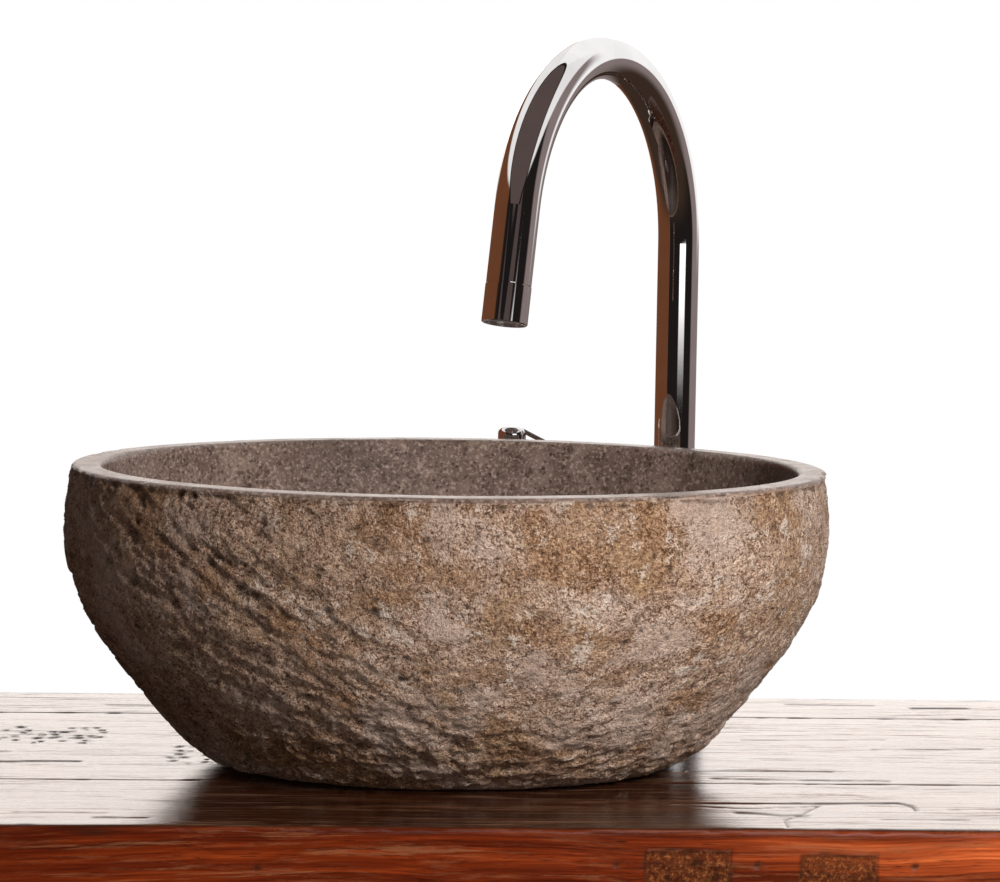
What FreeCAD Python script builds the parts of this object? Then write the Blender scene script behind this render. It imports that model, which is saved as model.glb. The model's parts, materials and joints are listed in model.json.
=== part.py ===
import FreeCAD, Part
import math
import os
import re
import Sketcher

# Vessel sink on a wall-hung timber vanity top, with its tap, its press-plug waste and its bottle trap.
# Frame: millimetres, +X along the wall, +Y into the wall, +Z up. The origin is the centre of the four
# wall bolts, on the wall's face. "Above the top" means above the upper face of the timber.

DRIVING_DIMENSIONS = {
    # timber top
    "slab_width": 800,
    "slab_depth": 370,
    "slab_thickness": 50,
    "slab_under": 80,
    "front_board_depth": 110,
    "middle_board_depth": 193,
    "spline_width": 12,
    "spline_thickness": 6,
    "spline_length": 780,
    "waste_bore_radius": 23,
    "tap_bore_radius": 17.5,
    # wall brackets and their screws
    "bolt_spacing_wide": 520,
    "bolt_spacing_high": 100,
    "bolt_hole_radius": 5.5,
    "bracket_width": 50,
    "bracket_height": 160,
    "bracket_reach": 320,
    "bracket_plate": 6,
    "gusset_plate": 5,
    "gusset_inset": 45,
    "gusset_lift": 10,
    "screw_radius": 2.5,
    "screw_play": 0.4,
    "screw_head_radius": 5,
    "screw_head_height": 3,
    "screw_bite": 32,
    "front_screw_reach": 290,
    "middle_screw_reach": 165,
    "back_screw_reach": 38,
    # stone basin: half width, half depth and height above the top of each level
    "basin_from_wall": 211,
    "foot_half_width": 108.5,
    "foot_half_depth": 70,
    "heel_half_width": 141,
    "heel_half_depth": 101,
    "heel_height": 15,
    "belly_half_width": 166.5,
    "belly_half_depth": 129,
    "belly_height": 45,
    "flank_half_width": 194,
    "flank_half_depth": 155,
    "flank_height": 85,
    "brow_half_width": 204,
    "brow_half_depth": 168,
    "brow_height": 130,
    "rim_half_width": 200,
    "rim_half_depth": 166,
    "rim_height": 161,
    "rim_wall": 15.5,
    "rim_edge_radius": 2.5,
    "bowl_floor_height": 36,
    "bowl_floor_radius": 34,
    "bowl_low_half_width": 85,
    "bowl_low_half_depth": 74,
    "bowl_low_height": 44,
    "bowl_mid_half_width": 134,
    "bowl_mid_half_depth": 111,
    "bowl_mid_height": 64,
    "bowl_high_half_width": 171,
    "bowl_high_half_depth": 139,
    "bowl_high_height": 104,
    "seal_groove_depth": 2,
    "seal_inner_radius": 34,
    "seal_outer_radius": 52,
    # press-plug waste
    "waste_radius": 20,
    "waste_bore": 17,
    "waste_length": 95,
    "flange_radius": 32,
    "flange_thickness": 3,
    "flange_gasket_thickness": 1.5,
    "flange_edge": 1.5,
    "drain_mouth_radius": 21,
    "drain_mouth_depth": 3,
    "washer_inset": 1,
    "washer_play": 0.2,
    "guide_top": 10,
    "guide_thickness": 8,
    "guide_bush_radius": 5.5,
    "guide_arm_width": 3,
    "plug_lift": 6,
    "plug_radius": 29,
    "plug_thickness": 5,
    "plug_dome_radius": 3,
    "plug_seal_thickness": 1.5,
    "plug_seal_radius": 20,
    "plug_seal_inset": 4,
    "stem_radius": 2.5,
    "stem_tail": 25,
    "stem_collar_radius": 5,
    "stem_collar_top": 30,
    "stem_collar_thickness": 2,
    "spring_radius": 4,
    "spring_wire_radius": 0.5,
    "spring_pitch": 3,
    "spring_play": 0.2,
    "washer_radius": 34,
    "rubber_washer_thickness": 3,
    "steel_washer_thickness": 1.5,
    "nut_height": 12,
    "waste_nut_radius": 31,
    # bottle trap, heights given as depths below the upper face of the timber
    "pipe_radius": 16,
    "pipe_bore": 14.5,
    "pipe_into_wall": 45,
    "pipe_into_trap": 15,
    "spigot_radius": 15.8,
    "spigot_start": 2,
    "trap_nut_radius": 27,
    "trap_nut_height": 19,
    "trap_nut_lip": 4,
    "trap_nut_chamfer": 2,
    "outlet_nut_radius": 26,
    "pipe_play": 0.3,
    "trap_washer_thickness": 2,
    "trap_radius": 32,
    "trap_bore": 29,
    "trap_shoulder": 3,
    "trap_roof": 4,
    "trap_top_depth": 126,
    "trap_collar_depth": 112,
    "trap_collar_radius": 22,
    "trap_bottom_depth": 190,
    "dip_tube_depth": 218,
    "cup_radius": 35.5,
    "cup_bore": 28.5,
    "cup_top_depth": 177,
    "cup_bottom_depth": 240,
    "cup_floor": 4,
    "cup_foot_inset": 4,
    "cup_foot_rise": 5,
    "cup_gasket_inset": 0.5,
    "cup_grip_depth": 1.2,
    "cup_grip_radius": 3,
    "cup_grip_count": 16,
    "outlet_depth": 150,
    "stub_radius": 19,
    "stub_reach": 51,
    "wall_flange_radius": 33,
    "wall_flange_depth": 9,
    "wall_flange_nose": 18,
    "wall_flange_knee": 25,
    "wall_flange_knee_rise": 3,
    "wall_flange_edge": 1,
    "wall_flange_sheet": 1.5,
    # tap: heights above the top
    "tap_across": 136.7,
    "tap_from_wall": 43,
    "tap_gasket_thickness": 1,
    "tap_gasket_radius": 23,
    "tap_flange_radius": 24,
    "tap_flange_thickness": 4,
    "tap_flange_edge": 1.5,
    "tap_body_radius": 20,
    "tap_body_top": 145,
    "tap_body_edge": 1.5,
    "socket_radius": 15,
    "socket_bottom": 118,
    "waterway_radius": 6,
    "waterway_bottom": 60,
    "port_radius": 5,
    "port_overrun": 8,
    "bush_bore": 12.05,
    "swivel_seal_radius": 13.5,
    "swivel_seal_height": 2,
    "low_seal_bottom": 123,
    "high_seal_bottom": 134,
    "collar_height": 7,
    "collar_foot_height": 1.5,
    "collar_foot_radius": 18.5,
    "collar_head_radius": 13.8,
    "collar_bore": 12.3,
    "tube_radius": 12,
    "tube_bore": 10.5,
    "tube_bottom": 119,
    "arch_start": 276.7,
    "arch_radius": 104,
    "leg_lean": 11.8,
    "leg_length": 41,
    "spout_heading": 239.7,
    "sleeve_length": 21,
    "sleeve_radius": 12.2,
    "sleeve_bore": 10.6,
    "sleeve_edge": 0.6,
    "sleeve_neck_radius": 11.2,
    "sleeve_neck_length": 0.8,
    "insert_recess": 1.5,
    "insert_length": 9,
    "jet_radius": 0.9,
    "outer_jet_ring": 7.6,
    "outer_jet_count": 12,
    "inner_jet_ring": 4.2,
    "inner_jet_count": 6,
    # lever, reach measured along its own axis from the centre line of the tap's body
    "lever_height": 120.1,
    "lever_heading": 169.8,
    "lever_slope": 26,
    "barrel_radius": 13,
    "barrel_bore": 10.5,
    "barrel_start": 8,
    "barrel_end": 46,
    "cartridge_start": 27.7,
    "cartridge_end": 41,
    "cartridge_radius": 10.4,
    "cartridge_bore": 9.1,
    "cartridge_shoulder": 33.6,
    "cartridge_mouth": 5.7,
    "core_radius": 9,
    "core_start": 28.3,
    "core_end": 33.2,
    "core_socket_radius": 5.1,
    "core_socket_start": 31,
    "ball_reach": 36,
    "ball_radius": 4.8,
    "nut_cap_thickness": 3,
    "nut_thread_radius": 10.4,
    "nut_mouth_radius": 7,
    "nut_face_radius": 10,
    "rod_radius": 1.5,
    "knob_reach": 107.5,
    "knob_bite": 6.5,
    "knob_radius": 8.3,
    "knob_top_drop": 0.4,
    "knob_foot_drop": 13.2,
    "knob_dome_radius": 5,
    "knob_foot_radius": 2.5,
    # tap shank and its nut
    "shank_radius": 16.5,
    "shank_length": 92,
    "shank_chamfer": 1,
    "inlet_radius": 5,
    "inlet_depth": 15,
    "inlet_spacing": 15,
    "shank_washer_radius": 28,
    "shank_nut_radius": 27,
    "running_gap": 0.05,
}

SAME_HEIGHT = 0.01
PLANE_ROLES = {"XY": "XY_Plane", "XZ": "XZ_Plane", "YZ": "YZ_Plane"}
SLAB_TOP = "(slab_under + slab_thickness)"
BASIN_Y = "(-basin_from_wall)"
TAP_PLACE = ("tap_across", "-tap_from_wall", SLAB_TOP)
BASIN_PLACE = ("0", BASIN_Y, SLAB_TOP)

doc = FreeCAD.newDocument("vessel_sink_on_vanity")
sheet = doc.addObject("Spreadsheet::Sheet", "Dimensions")
sheet.Label = "driving dimensions"
for row, (alias, number) in enumerate(DRIVING_DIMENSIONS.items(), start=1):
    sheet.set(f"A{row}", alias)
    sheet.set(f"B{row}", str(number))
    sheet.setAlias(f"B{row}", alias)
doc.recompute()

finished = {}


# ---------------------------------------------------------------- helpers

def bound(formula):
    """The formula with each driving dimension turned into a reference to its cell."""
    return re.sub(r"[a-z][a-z0-9_]*", lambda word: refer(word.group(0)), formula)


def refer(word):
    return f"Dimensions.{word}" if word in DRIVING_DIMENSIONS else word


def value(formula):
    """The present value of a formula of driving dimensions, for first guesses and for picking edges."""
    answer = sheet.evalExpression(bound(formula))
    return float(getattr(answer, "Value", answer))


def bind(item, **formulas):
    for name, formula in formulas.items():
        item.setExpression(name, bound(formula))


def put(item, place, axis=None, turn="0"):
    """Places an item; place holds three formulas, and turn is an angle about axis in degrees."""
    if axis is not None:
        item.Placement = FreeCAD.Placement(FreeCAD.Vector(), FreeCAD.Rotation(axis, 1))
        item.setExpression("Placement.Rotation.Angle", bound(turn))
    for name, formula in zip("xyz", place):
        item.setExpression(f"Placement.Base.{name}", bound(formula))
    return item


def finish(item, node):
    """Names a sub-part; its label is the name of its file."""
    item.Label = node
    finished[node] = item
    return item


def new_body(node):
    return doc.addObject("PartDesign::Body", f"{node}_body")


def sketch_on(body, plane, name):
    sketch = body.newObject("Sketcher::SketchObject", f"{body.Name}_{name}")
    role = PLANE_ROLES[plane]
    support = [item for item in body.Origin.OriginFeatures if item.Role == role][0]
    sketch.AttachmentSupport = [(support, "")]
    sketch.MapMode = "FlatFace"
    return sketch


def constrain(sketch, kind, formula, *where):
    """Adds a dimension from the sketch's origin, or on one edge, and ties it to the sheet."""
    index = sketch.addConstraint(Sketcher.Constraint(kind, *where, value(formula)))
    sketch.setExpression(f"Constraints[{index}]", bound(formula))


def outline(body, plane, corners, name="outline"):
    """A closed outline of straight edges whose corners are pairs of formulas."""
    sketch = sketch_on(body, plane, name)
    points = [FreeCAD.Vector(value(across), value(up), 0) for across, up in corners]
    for start, end in zip(points, points[1:] + points[:1]):
        sketch.addGeometry(Part.LineSegment(start, end), False)
    for edge in range(len(corners)):
        sketch.addConstraint(Sketcher.Constraint("Coincident", edge, 2, (edge + 1) % len(corners), 1))
    for edge, (across, up) in enumerate(corners):
        constrain(sketch, "DistanceX", across, -1, 1, edge, 1)
        constrain(sketch, "DistanceY", up, -1, 1, edge, 1)
    return sketch


def circles(body, plane, rings, name="circles"):
    """A sketch of circles, each given by formulas for its centre and its radius."""
    sketch = sketch_on(body, plane, name)
    for edge, (across, up, radius) in enumerate(rings):
        centre = FreeCAD.Vector(value(across), value(up), 0)
        circle = Part.Circle(centre, FreeCAD.Vector(0, 0, 1), value(radius))
        sketch.addGeometry(circle, False)
        constrain(sketch, "Radius", radius, edge)
        constrain(sketch, "DistanceX", across, -1, 1, edge, 3)
        constrain(sketch, "DistanceY", up, -1, 1, edge, 3)
    return sketch


def turned(node, corners):
    """A body turned about its own Z axis from corners given as (radius, height)."""
    body = new_body(node)
    sketch = outline(body, "XZ", corners)
    turn = body.newObject("PartDesign::Revolution", f"{node}_turn")
    turn.Profile = sketch
    turn.ReferenceAxis = (sketch, ["V_Axis"])
    turn.Angle = 360
    return body


def ring(node, inner, outer, low, high):
    """A turned ring of rectangular section."""
    return turned(node, [(inner, low), (outer, low), (outer, high), (inner, high)])


def padded(body, sketch, length, name="pad", symmetric=False):
    pad = body.newObject("PartDesign::Pad", f"{body.Name}_{name}")
    pad.Profile = sketch
    if symmetric:
        pad.SideType = "Symmetric"
    bind(pad, Length=length)
    return pad


def bored(body, sketch, name="bore"):
    """Cuts a sketch right through its body, both ways from the sketch's plane."""
    doc.recompute()
    before = body.Shape.Volume
    pocket = body.newObject("PartDesign::Pocket", f"{body.Name}_{name}")
    pocket.Profile = sketch
    pocket.SideType = "Symmetric"
    pocket.Type = "ThroughAll"
    doc.recompute()
    if body.Shape.Volume >= before:
        raise RuntimeError(f"{pocket.Name} cuts nothing")
    return pocket


def round_at(edge, height):
    """True for a level round edge at this height."""
    bounds = edge.BoundBox
    return abs(bounds.ZMin - height) < SAME_HEIGHT and bounds.ZLength < SAME_HEIGHT < bounds.XLength


def rounded(body, feature, radius, chosen):
    """Rounds the edges of a body's feature for which chosen(edge) is true."""
    doc.recompute()
    names = [f"Edge{index}" for index, edge in enumerate(feature.Shape.Edges, start=1) if chosen(edge)]
    fillet = body.newObject("PartDesign::Fillet", f"{body.Name}_{radius}")
    fillet.Base = (feature, names)
    bind(fillet, Radius=radius)
    return fillet


def cylinder(name, radius, length, place=("0", "0", "0"), axis=None, turn="0"):
    solid = doc.addObject("Part::Cylinder", name)
    bind(solid, Radius=radius, Height=length)
    return put(solid, place, axis, turn)


def box(name, length, width, height, place):
    solid = doc.addObject("Part::Box", name)
    bind(solid, Length=length, Width=width, Height=height)
    return put(solid, place)


def cut(name, base, tool):
    result = doc.addObject("Part::Cut", name)
    result.Base = base
    result.Tool = tool
    return result


def fused(name, shapes):
    result = doc.addObject("Part::MultiFuse", name)
    result.Shapes = shapes
    return result


def grouped(name, shapes):
    result = doc.addObject("Part::Compound", name)
    result.Links = shapes
    return result


# ---------------------------------------------------------------- timber top

def board(node, front, back, groove_front, groove_back):
    """A board from y = front to y = back, grooved for a spline along the edges that meet another board."""
    under = "slab_under"
    over = SLAB_TOP
    low = "(slab_under + (slab_thickness - spline_thickness) / 2)"
    high = "(slab_under + (slab_thickness + spline_thickness) / 2)"
    corners = [(front, under), (back, under)]
    if groove_back:
        inside = f"{back} - spline_width / 2"
        corners += [(back, low), (inside, low), (inside, high), (back, high)]
    corners += [(back, over), (front, over)]
    if groove_front:
        inside = f"{front} + spline_width / 2"
        corners += [(front, high), (inside, high), (inside, low), (front, low)]
    body = new_body(node)
    padded(body, outline(body, "YZ", corners), "slab_width", symmetric=True)
    return body


def screw_holes(body, reach, name="screw_holes"):
    """Pilot holes for a bracket's screw at each side."""
    sides = ("bolt_spacing_wide / 2", "-bolt_spacing_wide / 2")
    sketch = circles(body, "XY", [(side, f"-{reach}", "screw_radius") for side in sides], name)
    sketch.setExpression("AttachmentOffset.Base.z", bound("slab_under"))
    doc.recompute()
    before = body.Shape.Volume
    pocket = body.newObject("PartDesign::Pocket", f"{body.Name}_{name}_cut")
    pocket.Profile = sketch
    pocket.Reversed = True
    bind(pocket, Length="screw_bite")
    doc.recompute()
    if body.Shape.Volume >= before:
        raise RuntimeError(f"{pocket.Name} cuts nothing")


def make_boards():
    front = "(-slab_depth)"
    first_seam = "(front_board_depth - slab_depth)"
    second_seam = "(front_board_depth + middle_board_depth - slab_depth)"

    body = board("front_board", front, first_seam, False, True)
    screw_holes(body, "front_screw_reach")
    finish(body, "front_board")

    body = board("middle_board", first_seam, second_seam, True, True)
    bored(body, circles(body, "XY", [("0", BASIN_Y, "waste_bore_radius")], "waste_hole"))
    screw_holes(body, "middle_screw_reach")
    finish(body, "middle_board")

    body = board("back_board", second_seam, "0", True, False)
    bored(body, circles(body, "XY", [("tap_across", "-tap_from_wall", "tap_bore_radius")], "tap_hole"))
    screw_holes(body, "back_screw_reach")
    finish(body, "back_board")

    low = "slab_under + (slab_thickness - spline_thickness) / 2"
    for node, seam in (("front_spline", first_seam), ("back_spline", second_seam)):
        place = ("-spline_length / 2", f"{seam} - spline_width / 2", low)
        finish(box(f"{node}_box", "spline_length", "spline_width", "spline_thickness", place), node)


def make_bracket(node, side):
    """An angle bracket with its gusset at the outer edge; side is 1 on the right and -1 on the left."""
    body = new_body(node)
    leg_low = "(slab_under - bracket_height)"
    arm_low = "(slab_under - bracket_plate)"
    angle = [("0", leg_low), ("0", "slab_under"), ("-bracket_reach", "slab_under"),
             ("-bracket_reach", arm_low), ("-bracket_plate", arm_low), ("-bracket_plate", leg_low)]
    padded(body, outline(body, "YZ", angle, "angle"), "bracket_width", "angle_pad", symmetric=True)
    gusset = [("-bracket_plate", arm_low), ("-bracket_plate", "slab_under - bracket_height + gusset_lift"),
              ("gusset_inset - bracket_reach", arm_low)]
    web = outline(body, "YZ", gusset, "gusset")
    offset = f"{side} * (bracket_width - gusset_plate) / 2"
    web.setExpression("AttachmentOffset.Base.z", bound(offset))
    padded(body, web, "gusset_plate", "gusset_pad", symmetric=True)
    half = "bolt_spacing_high / 2"
    bored(body, circles(body, "XZ", [("0", half, "bolt_hole_radius"), ("0", f"-{half}", "bolt_hole_radius")],
                        "bolt_holes"), "bolt_bore")
    reaches = ("front_screw_reach", "middle_screw_reach", "back_screw_reach")
    holes = [("0", f"-{reach}", "screw_radius + screw_play") for reach in reaches]
    bored(body, circles(body, "XY", holes, "screw_holes"), "screw_bore")
    put(body, (f"{side} * bolt_spacing_wide / 2", "0", "0"))
    finish(body, node)


def make_bracket_screws():
    screws = []
    for side, sign in (("left", "-"), ("right", "")):
        for reach in ("front_screw_reach", "middle_screw_reach", "back_screw_reach"):
            across = f"{sign}bolt_spacing_wide / 2"
            seat = "slab_under - bracket_plate"
            name = f"{side}_{reach}"
            head_place = (across, f"-{reach}", f"{seat} - screw_head_height")
            head = cylinder(f"{name}_head", "screw_head_radius", "screw_head_height", head_place)
            shank = cylinder(f"{name}_shank", "screw_radius", "bracket_plate + screw_bite",
                             (across, f"-{reach}", seat))
            screws.append(fused(f"{name}_screw", [head, shank]))
    finish(grouped("bracket_screw_group", screws), "bracket_screws")


# ---------------------------------------------------------------- stone basin

def level(name, half_width, half_depth, height):
    """A horizontal oval of the basin; height is above the timber's upper face."""
    oval = doc.addObject("Part::Ellipse", name)
    bind(oval, MajorRadius=half_width, MinorRadius=half_depth)
    return put(oval, ("0", BASIN_Y, f"{SLAB_TOP} + {height}"))


def lofted(name, levels):
    loft = doc.addObject("Part::Loft", name)
    loft.Sections = levels
    loft.Solid = True
    return loft


def make_basin():
    outer = [
        level("foot_level", "foot_half_width", "foot_half_depth", "0"),
        level("heel_level", "heel_half_width", "heel_half_depth", "heel_height"),
        level("belly_level", "belly_half_width", "belly_half_depth", "belly_height"),
        level("flank_level", "flank_half_width", "flank_half_depth", "flank_height"),
        level("brow_level", "brow_half_width", "brow_half_depth", "brow_height"),
        level("rim_level", "rim_half_width", "rim_half_depth", "rim_height"),
    ]
    inner = [
        level("bowl_floor_level", "bowl_floor_radius", "bowl_floor_radius", "bowl_floor_height"),
        level("bowl_low_level", "bowl_low_half_width", "bowl_low_half_depth", "bowl_low_height"),
        level("bowl_mid_level", "bowl_mid_half_width", "bowl_mid_half_depth", "bowl_mid_height"),
        level("bowl_high_level", "bowl_high_half_width", "bowl_high_half_depth", "bowl_high_height"),
        level("bowl_mouth_level", "rim_half_width - rim_wall", "rim_half_depth - rim_wall", "rim_height"),
    ]
    bowl = cut("bowl_cut", lofted("stone_block", outer), lofted("bowl_space", inner))
    bore = cylinder("stone_bore", "waste_bore_radius", "bowl_floor_height", BASIN_PLACE)
    groove_outer = cylinder("groove_outer", "seal_outer_radius", "seal_groove_depth", BASIN_PLACE)
    groove_inner = cylinder("groove_inner", "seal_inner_radius", "seal_groove_depth", BASIN_PLACE)
    groove = cut("seal_groove", groove_outer, groove_inner)
    stone = cut("stone_bored", bowl, fused("stone_cuts", [bore, groove]))
    doc.recompute()
    rim_top = value(f"{SLAB_TOP} + rim_height")
    edges = []
    for index, edge in enumerate(stone.Shape.Edges, start=1):
        if abs(edge.CenterOfMass.z - rim_top) < SAME_HEIGHT:
            edges.append((index, value("rim_edge_radius"), value("rim_edge_radius")))
    softened = doc.addObject("Part::Fillet", "rim_edges")
    softened.Base = stone
    softened.Edges = edges
    finish(softened, "stone_basin")
    seal = ring("basin_seal", "seal_inner_radius", "seal_outer_radius", "0", "seal_groove_depth")
    finish(put(seal, BASIN_PLACE), "basin_seal")


# ---------------------------------------------------------------- press-plug waste

FLANGE_UNDER = "(bowl_floor_height + flange_gasket_thickness)"
FLANGE_OVER = "(bowl_floor_height + flange_gasket_thickness + flange_thickness)"
PLUG_UNDER = f"({FLANGE_OVER} + plug_lift + plug_seal_thickness)"


def make_waste():
    gasket = ring("flange_gasket", "waste_radius", "flange_radius - washer_inset",
                  "bowl_floor_height", FLANGE_UNDER)
    finish(put(gasket, BASIN_PLACE), "flange_gasket")

    body = turned("waste_body", [
        ("waste_bore", "-waste_length"), ("waste_radius", "-waste_length"),
        ("waste_radius", FLANGE_UNDER), ("flange_radius", FLANGE_UNDER),
        ("flange_radius", f"{FLANGE_UNDER} + flange_edge"), ("flange_radius - flange_edge", FLANGE_OVER),
        ("drain_mouth_radius", FLANGE_OVER), ("waste_bore", f"{FLANGE_UNDER} - drain_mouth_depth")])
    finish(put(body, BASIN_PLACE), "waste_body")

    guide_foot = f"{SLAB_TOP} + guide_top - guide_thickness"
    guide_place = ("0", BASIN_Y, guide_foot)
    hub = cylinder("guide_hub", "guide_bush_radius", "guide_thickness", guide_place)
    arms = []
    for name, along, across in (("guide_arm_x", "2 * waste_bore", "guide_arm_width"),
                                ("guide_arm_y", "guide_arm_width", "2 * waste_bore")):
        place = (f"-({along}) / 2", f"{BASIN_Y} - ({across}) / 2", guide_foot)
        arms.append(box(name, along, across, "guide_thickness", place))
    limit = cylinder("guide_limit", "waste_bore", "guide_thickness", guide_place)
    star = doc.addObject("Part::Common", "guide_star")
    star.Base = fused("guide_cross", [hub] + arms)
    star.Tool = limit
    bush_bore = cylinder("guide_bore", "stem_radius + running_gap", "guide_thickness", guide_place)
    finish(cut("guide_bored", star, bush_bore), "plug_guide")

    below = [("rubber", "washer_radius", "rubber_washer_thickness"),
             ("steel", "washer_radius - washer_inset", "steel_washer_thickness")]
    top = "-slab_thickness"
    for kind, outer, thickness in below:
        node = f"waste_{kind}_washer"
        bottom = f"{top} - {thickness}"
        washer = ring(node, "waste_radius + washer_play", outer, bottom, top)
        finish(put(washer, BASIN_PLACE), node)
        top = bottom
    place = ("0", BASIN_Y, f"{SLAB_TOP} {top} - nut_height")
    finish(nut("waste_nut", "waste_nut_radius", "waste_radius + running_gap", place), "waste_nut")


def nut(name, radius, bore, place):
    """A hexagonal nut; radius is to its corners."""
    prism = doc.addObject("Part::Prism", f"{name}_prism")
    prism.Polygon = 6
    bind(prism, Circumradius=radius, Height="nut_height")
    put(prism, place)
    return cut(f"{name}_bored", prism, cylinder(f"{name}_bore", bore, "nut_height", place))


def make_plug():
    cap = turned("plug_cap", [
        ("0", PLUG_UNDER), ("plug_radius", PLUG_UNDER), ("plug_radius", f"{PLUG_UNDER} + plug_thickness"),
        ("0", f"{PLUG_UNDER} + plug_thickness")])
    doc.recompute()
    top = value(f"{PLUG_UNDER} + plug_thickness")
    rounded(cap, cap.Tip, "plug_dome_radius", lambda edge: round_at(edge, top))
    finish(put(cap, BASIN_PLACE), "plug_cap")

    seal = ring("plug_seal", "plug_seal_radius", "plug_radius - plug_seal_inset",
                f"{PLUG_UNDER} - plug_seal_thickness", PLUG_UNDER)
    finish(put(seal, BASIN_PLACE), "plug_seal")

    stem = turned("plug_stem", [
        ("0", "-stem_tail"), ("stem_radius", "-stem_tail"),
        ("stem_radius", "stem_collar_top - stem_collar_thickness"),
        ("stem_collar_radius", "stem_collar_top - stem_collar_thickness"),
        ("stem_collar_radius", "stem_collar_top"), ("stem_radius", "stem_collar_top"),
        ("stem_radius", PLUG_UNDER), ("0", PLUG_UNDER)])
    finish(put(stem, BASIN_PLACE), "plug_stem")

    helix = doc.addObject("Part::Helix", "spring_helix")
    bind(helix, Pitch="spring_pitch", Radius="spring_radius",
         Height="stem_collar_top - stem_collar_thickness - guide_top - 2 * spring_wire_radius"
                " - spring_play")
    wire = doc.addObject("Part::Circle", "spring_wire")
    bind(wire, Radius="spring_wire_radius")
    put(wire, ("spring_radius", "0", "0"), FreeCAD.Vector(1, 0, 0), "90")
    coil = doc.addObject("Part::Sweep", "spring_coil")
    coil.Sections = [wire]
    doc.recompute()
    coil.Spine = (helix, [f"Edge{index + 1}" for index in range(len(helix.Shape.Edges))])
    coil.Solid = True
    coil.Frenet = True
    put(coil, ("0", BASIN_Y, f"{SLAB_TOP} + guide_top + spring_wire_radius"))
    finish(coil, "plug_spring")


# ---------------------------------------------------------------- bottle trap

def make_trap():
    inlet_nut = turned("trap_inlet_nut", [
        ("pipe_radius + pipe_play", "-waste_length - trap_washer_thickness - trap_nut_lip"),
        ("trap_nut_radius - trap_nut_chamfer", "-waste_length - trap_washer_thickness - trap_nut_lip"),
        ("trap_nut_radius", "-waste_length - trap_washer_thickness"),
        ("trap_nut_radius", "trap_nut_height - waste_length - trap_washer_thickness - trap_nut_lip"),
        ("waste_radius + running_gap",
         "trap_nut_height - waste_length - trap_washer_thickness - trap_nut_lip"),
        ("waste_radius + running_gap", "-waste_length - trap_washer_thickness"),
        ("pipe_radius + pipe_play", "-waste_length - trap_washer_thickness")])
    finish(put(inlet_nut, BASIN_PLACE), "trap_inlet_nut")

    washer = ring("trap_inlet_washer", "pipe_radius + running_gap", "waste_radius",
                  "-waste_length - trap_washer_thickness", "-waste_length")
    finish(put(washer, BASIN_PLACE), "trap_inlet_washer")

    dip = ring("dip_tube", "pipe_bore", "pipe_radius", "-dip_tube_depth",
               "-waste_length - trap_washer_thickness")
    finish(put(dip, BASIN_PLACE), "dip_tube")

    finish(trap_body(), "trap_body")

    cup_step = "(-trap_bottom_depth - trap_washer_thickness)"
    cup = turned("trap_cup", [
        ("0", "-cup_bottom_depth"), ("cup_radius - cup_foot_inset", "-cup_bottom_depth"),
        ("cup_radius", "-cup_bottom_depth + cup_foot_rise"), ("cup_radius", "-cup_top_depth"),
        ("trap_radius + running_gap", "-cup_top_depth"), ("trap_radius + running_gap", cup_step),
        ("cup_bore", cup_step), ("cup_bore", "-cup_bottom_depth + cup_floor"),
        ("0", "-cup_bottom_depth + cup_floor")])
    grip = circles(cup, "XY", [("cup_radius + cup_grip_radius - cup_grip_depth", "0", "cup_grip_radius")],
                   "grip")
    grip.setExpression("AttachmentOffset.Base.z", bound("-cup_top_depth"))
    doc.recompute()
    before = cup.Shape.Volume
    flute = cup.newObject("PartDesign::Pocket", "cup_flute")
    flute.Profile = grip
    bind(flute, Length="(cup_bottom_depth - cup_top_depth) / 2")
    doc.recompute()
    if cup.Shape.Volume >= before:
        raise RuntimeError("the trap cup's flute cuts nothing")
    flutes = cup.newObject("PartDesign::PolarPattern", "cup_flutes")
    flutes.Originals = [flute]
    flutes.Axis = (grip, ["N_Axis"])
    flutes.Angle = 360
    bind(flutes, Occurrences="cup_grip_count")
    cup.Tip = flutes
    finish(put(cup, BASIN_PLACE), "trap_cup")

    gasket = ring("trap_cup_gasket", "cup_bore + cup_gasket_inset", "trap_radius",
                  cup_step, "-trap_bottom_depth")
    finish(put(gasket, BASIN_PLACE), "trap_cup_gasket")


def trap_body():
    """The bottle's upper shell with its collar for the dip tube and its stub towards the wall."""
    towards_wall = FreeCAD.Vector(-1, 0, 0)
    outlet_centre = ("0", BASIN_Y, f"{SLAB_TOP} - outlet_depth")
    gap_radius = "pipe_radius + running_gap"
    block = turned("trap_block", [
        ("0", "-trap_collar_depth"), ("trap_collar_radius", "-trap_collar_depth"),
        ("trap_collar_radius", "-trap_top_depth"), ("trap_radius - trap_shoulder", "-trap_top_depth"),
        ("trap_radius", "-trap_top_depth - trap_shoulder"), ("trap_radius", "-trap_bottom_depth"),
        ("0", "-trap_bottom_depth")])
    put(block, BASIN_PLACE)
    block.Label = "trap block"
    stub = cylinder("trap_stub", "stub_radius", "stub_reach", outlet_centre, towards_wall, "90")
    inside = cylinder("trap_inside", "trap_bore", "trap_bottom_depth - trap_top_depth - trap_roof",
                      ("0", BASIN_Y, f"{SLAB_TOP} - trap_bottom_depth"))
    collar_bore = cylinder("trap_collar_bore", gap_radius, "trap_bottom_depth - trap_collar_depth",
                           ("0", BASIN_Y, f"{SLAB_TOP} - trap_bottom_depth"))
    stub_bore = cylinder("trap_stub_bore", gap_radius, "stub_reach", outlet_centre, towards_wall, "90")
    return cut("trap_hollowed", fused("trap_solid", [block, stub]),
               fused("trap_space", [inside, collar_bore, stub_bore]))


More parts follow.
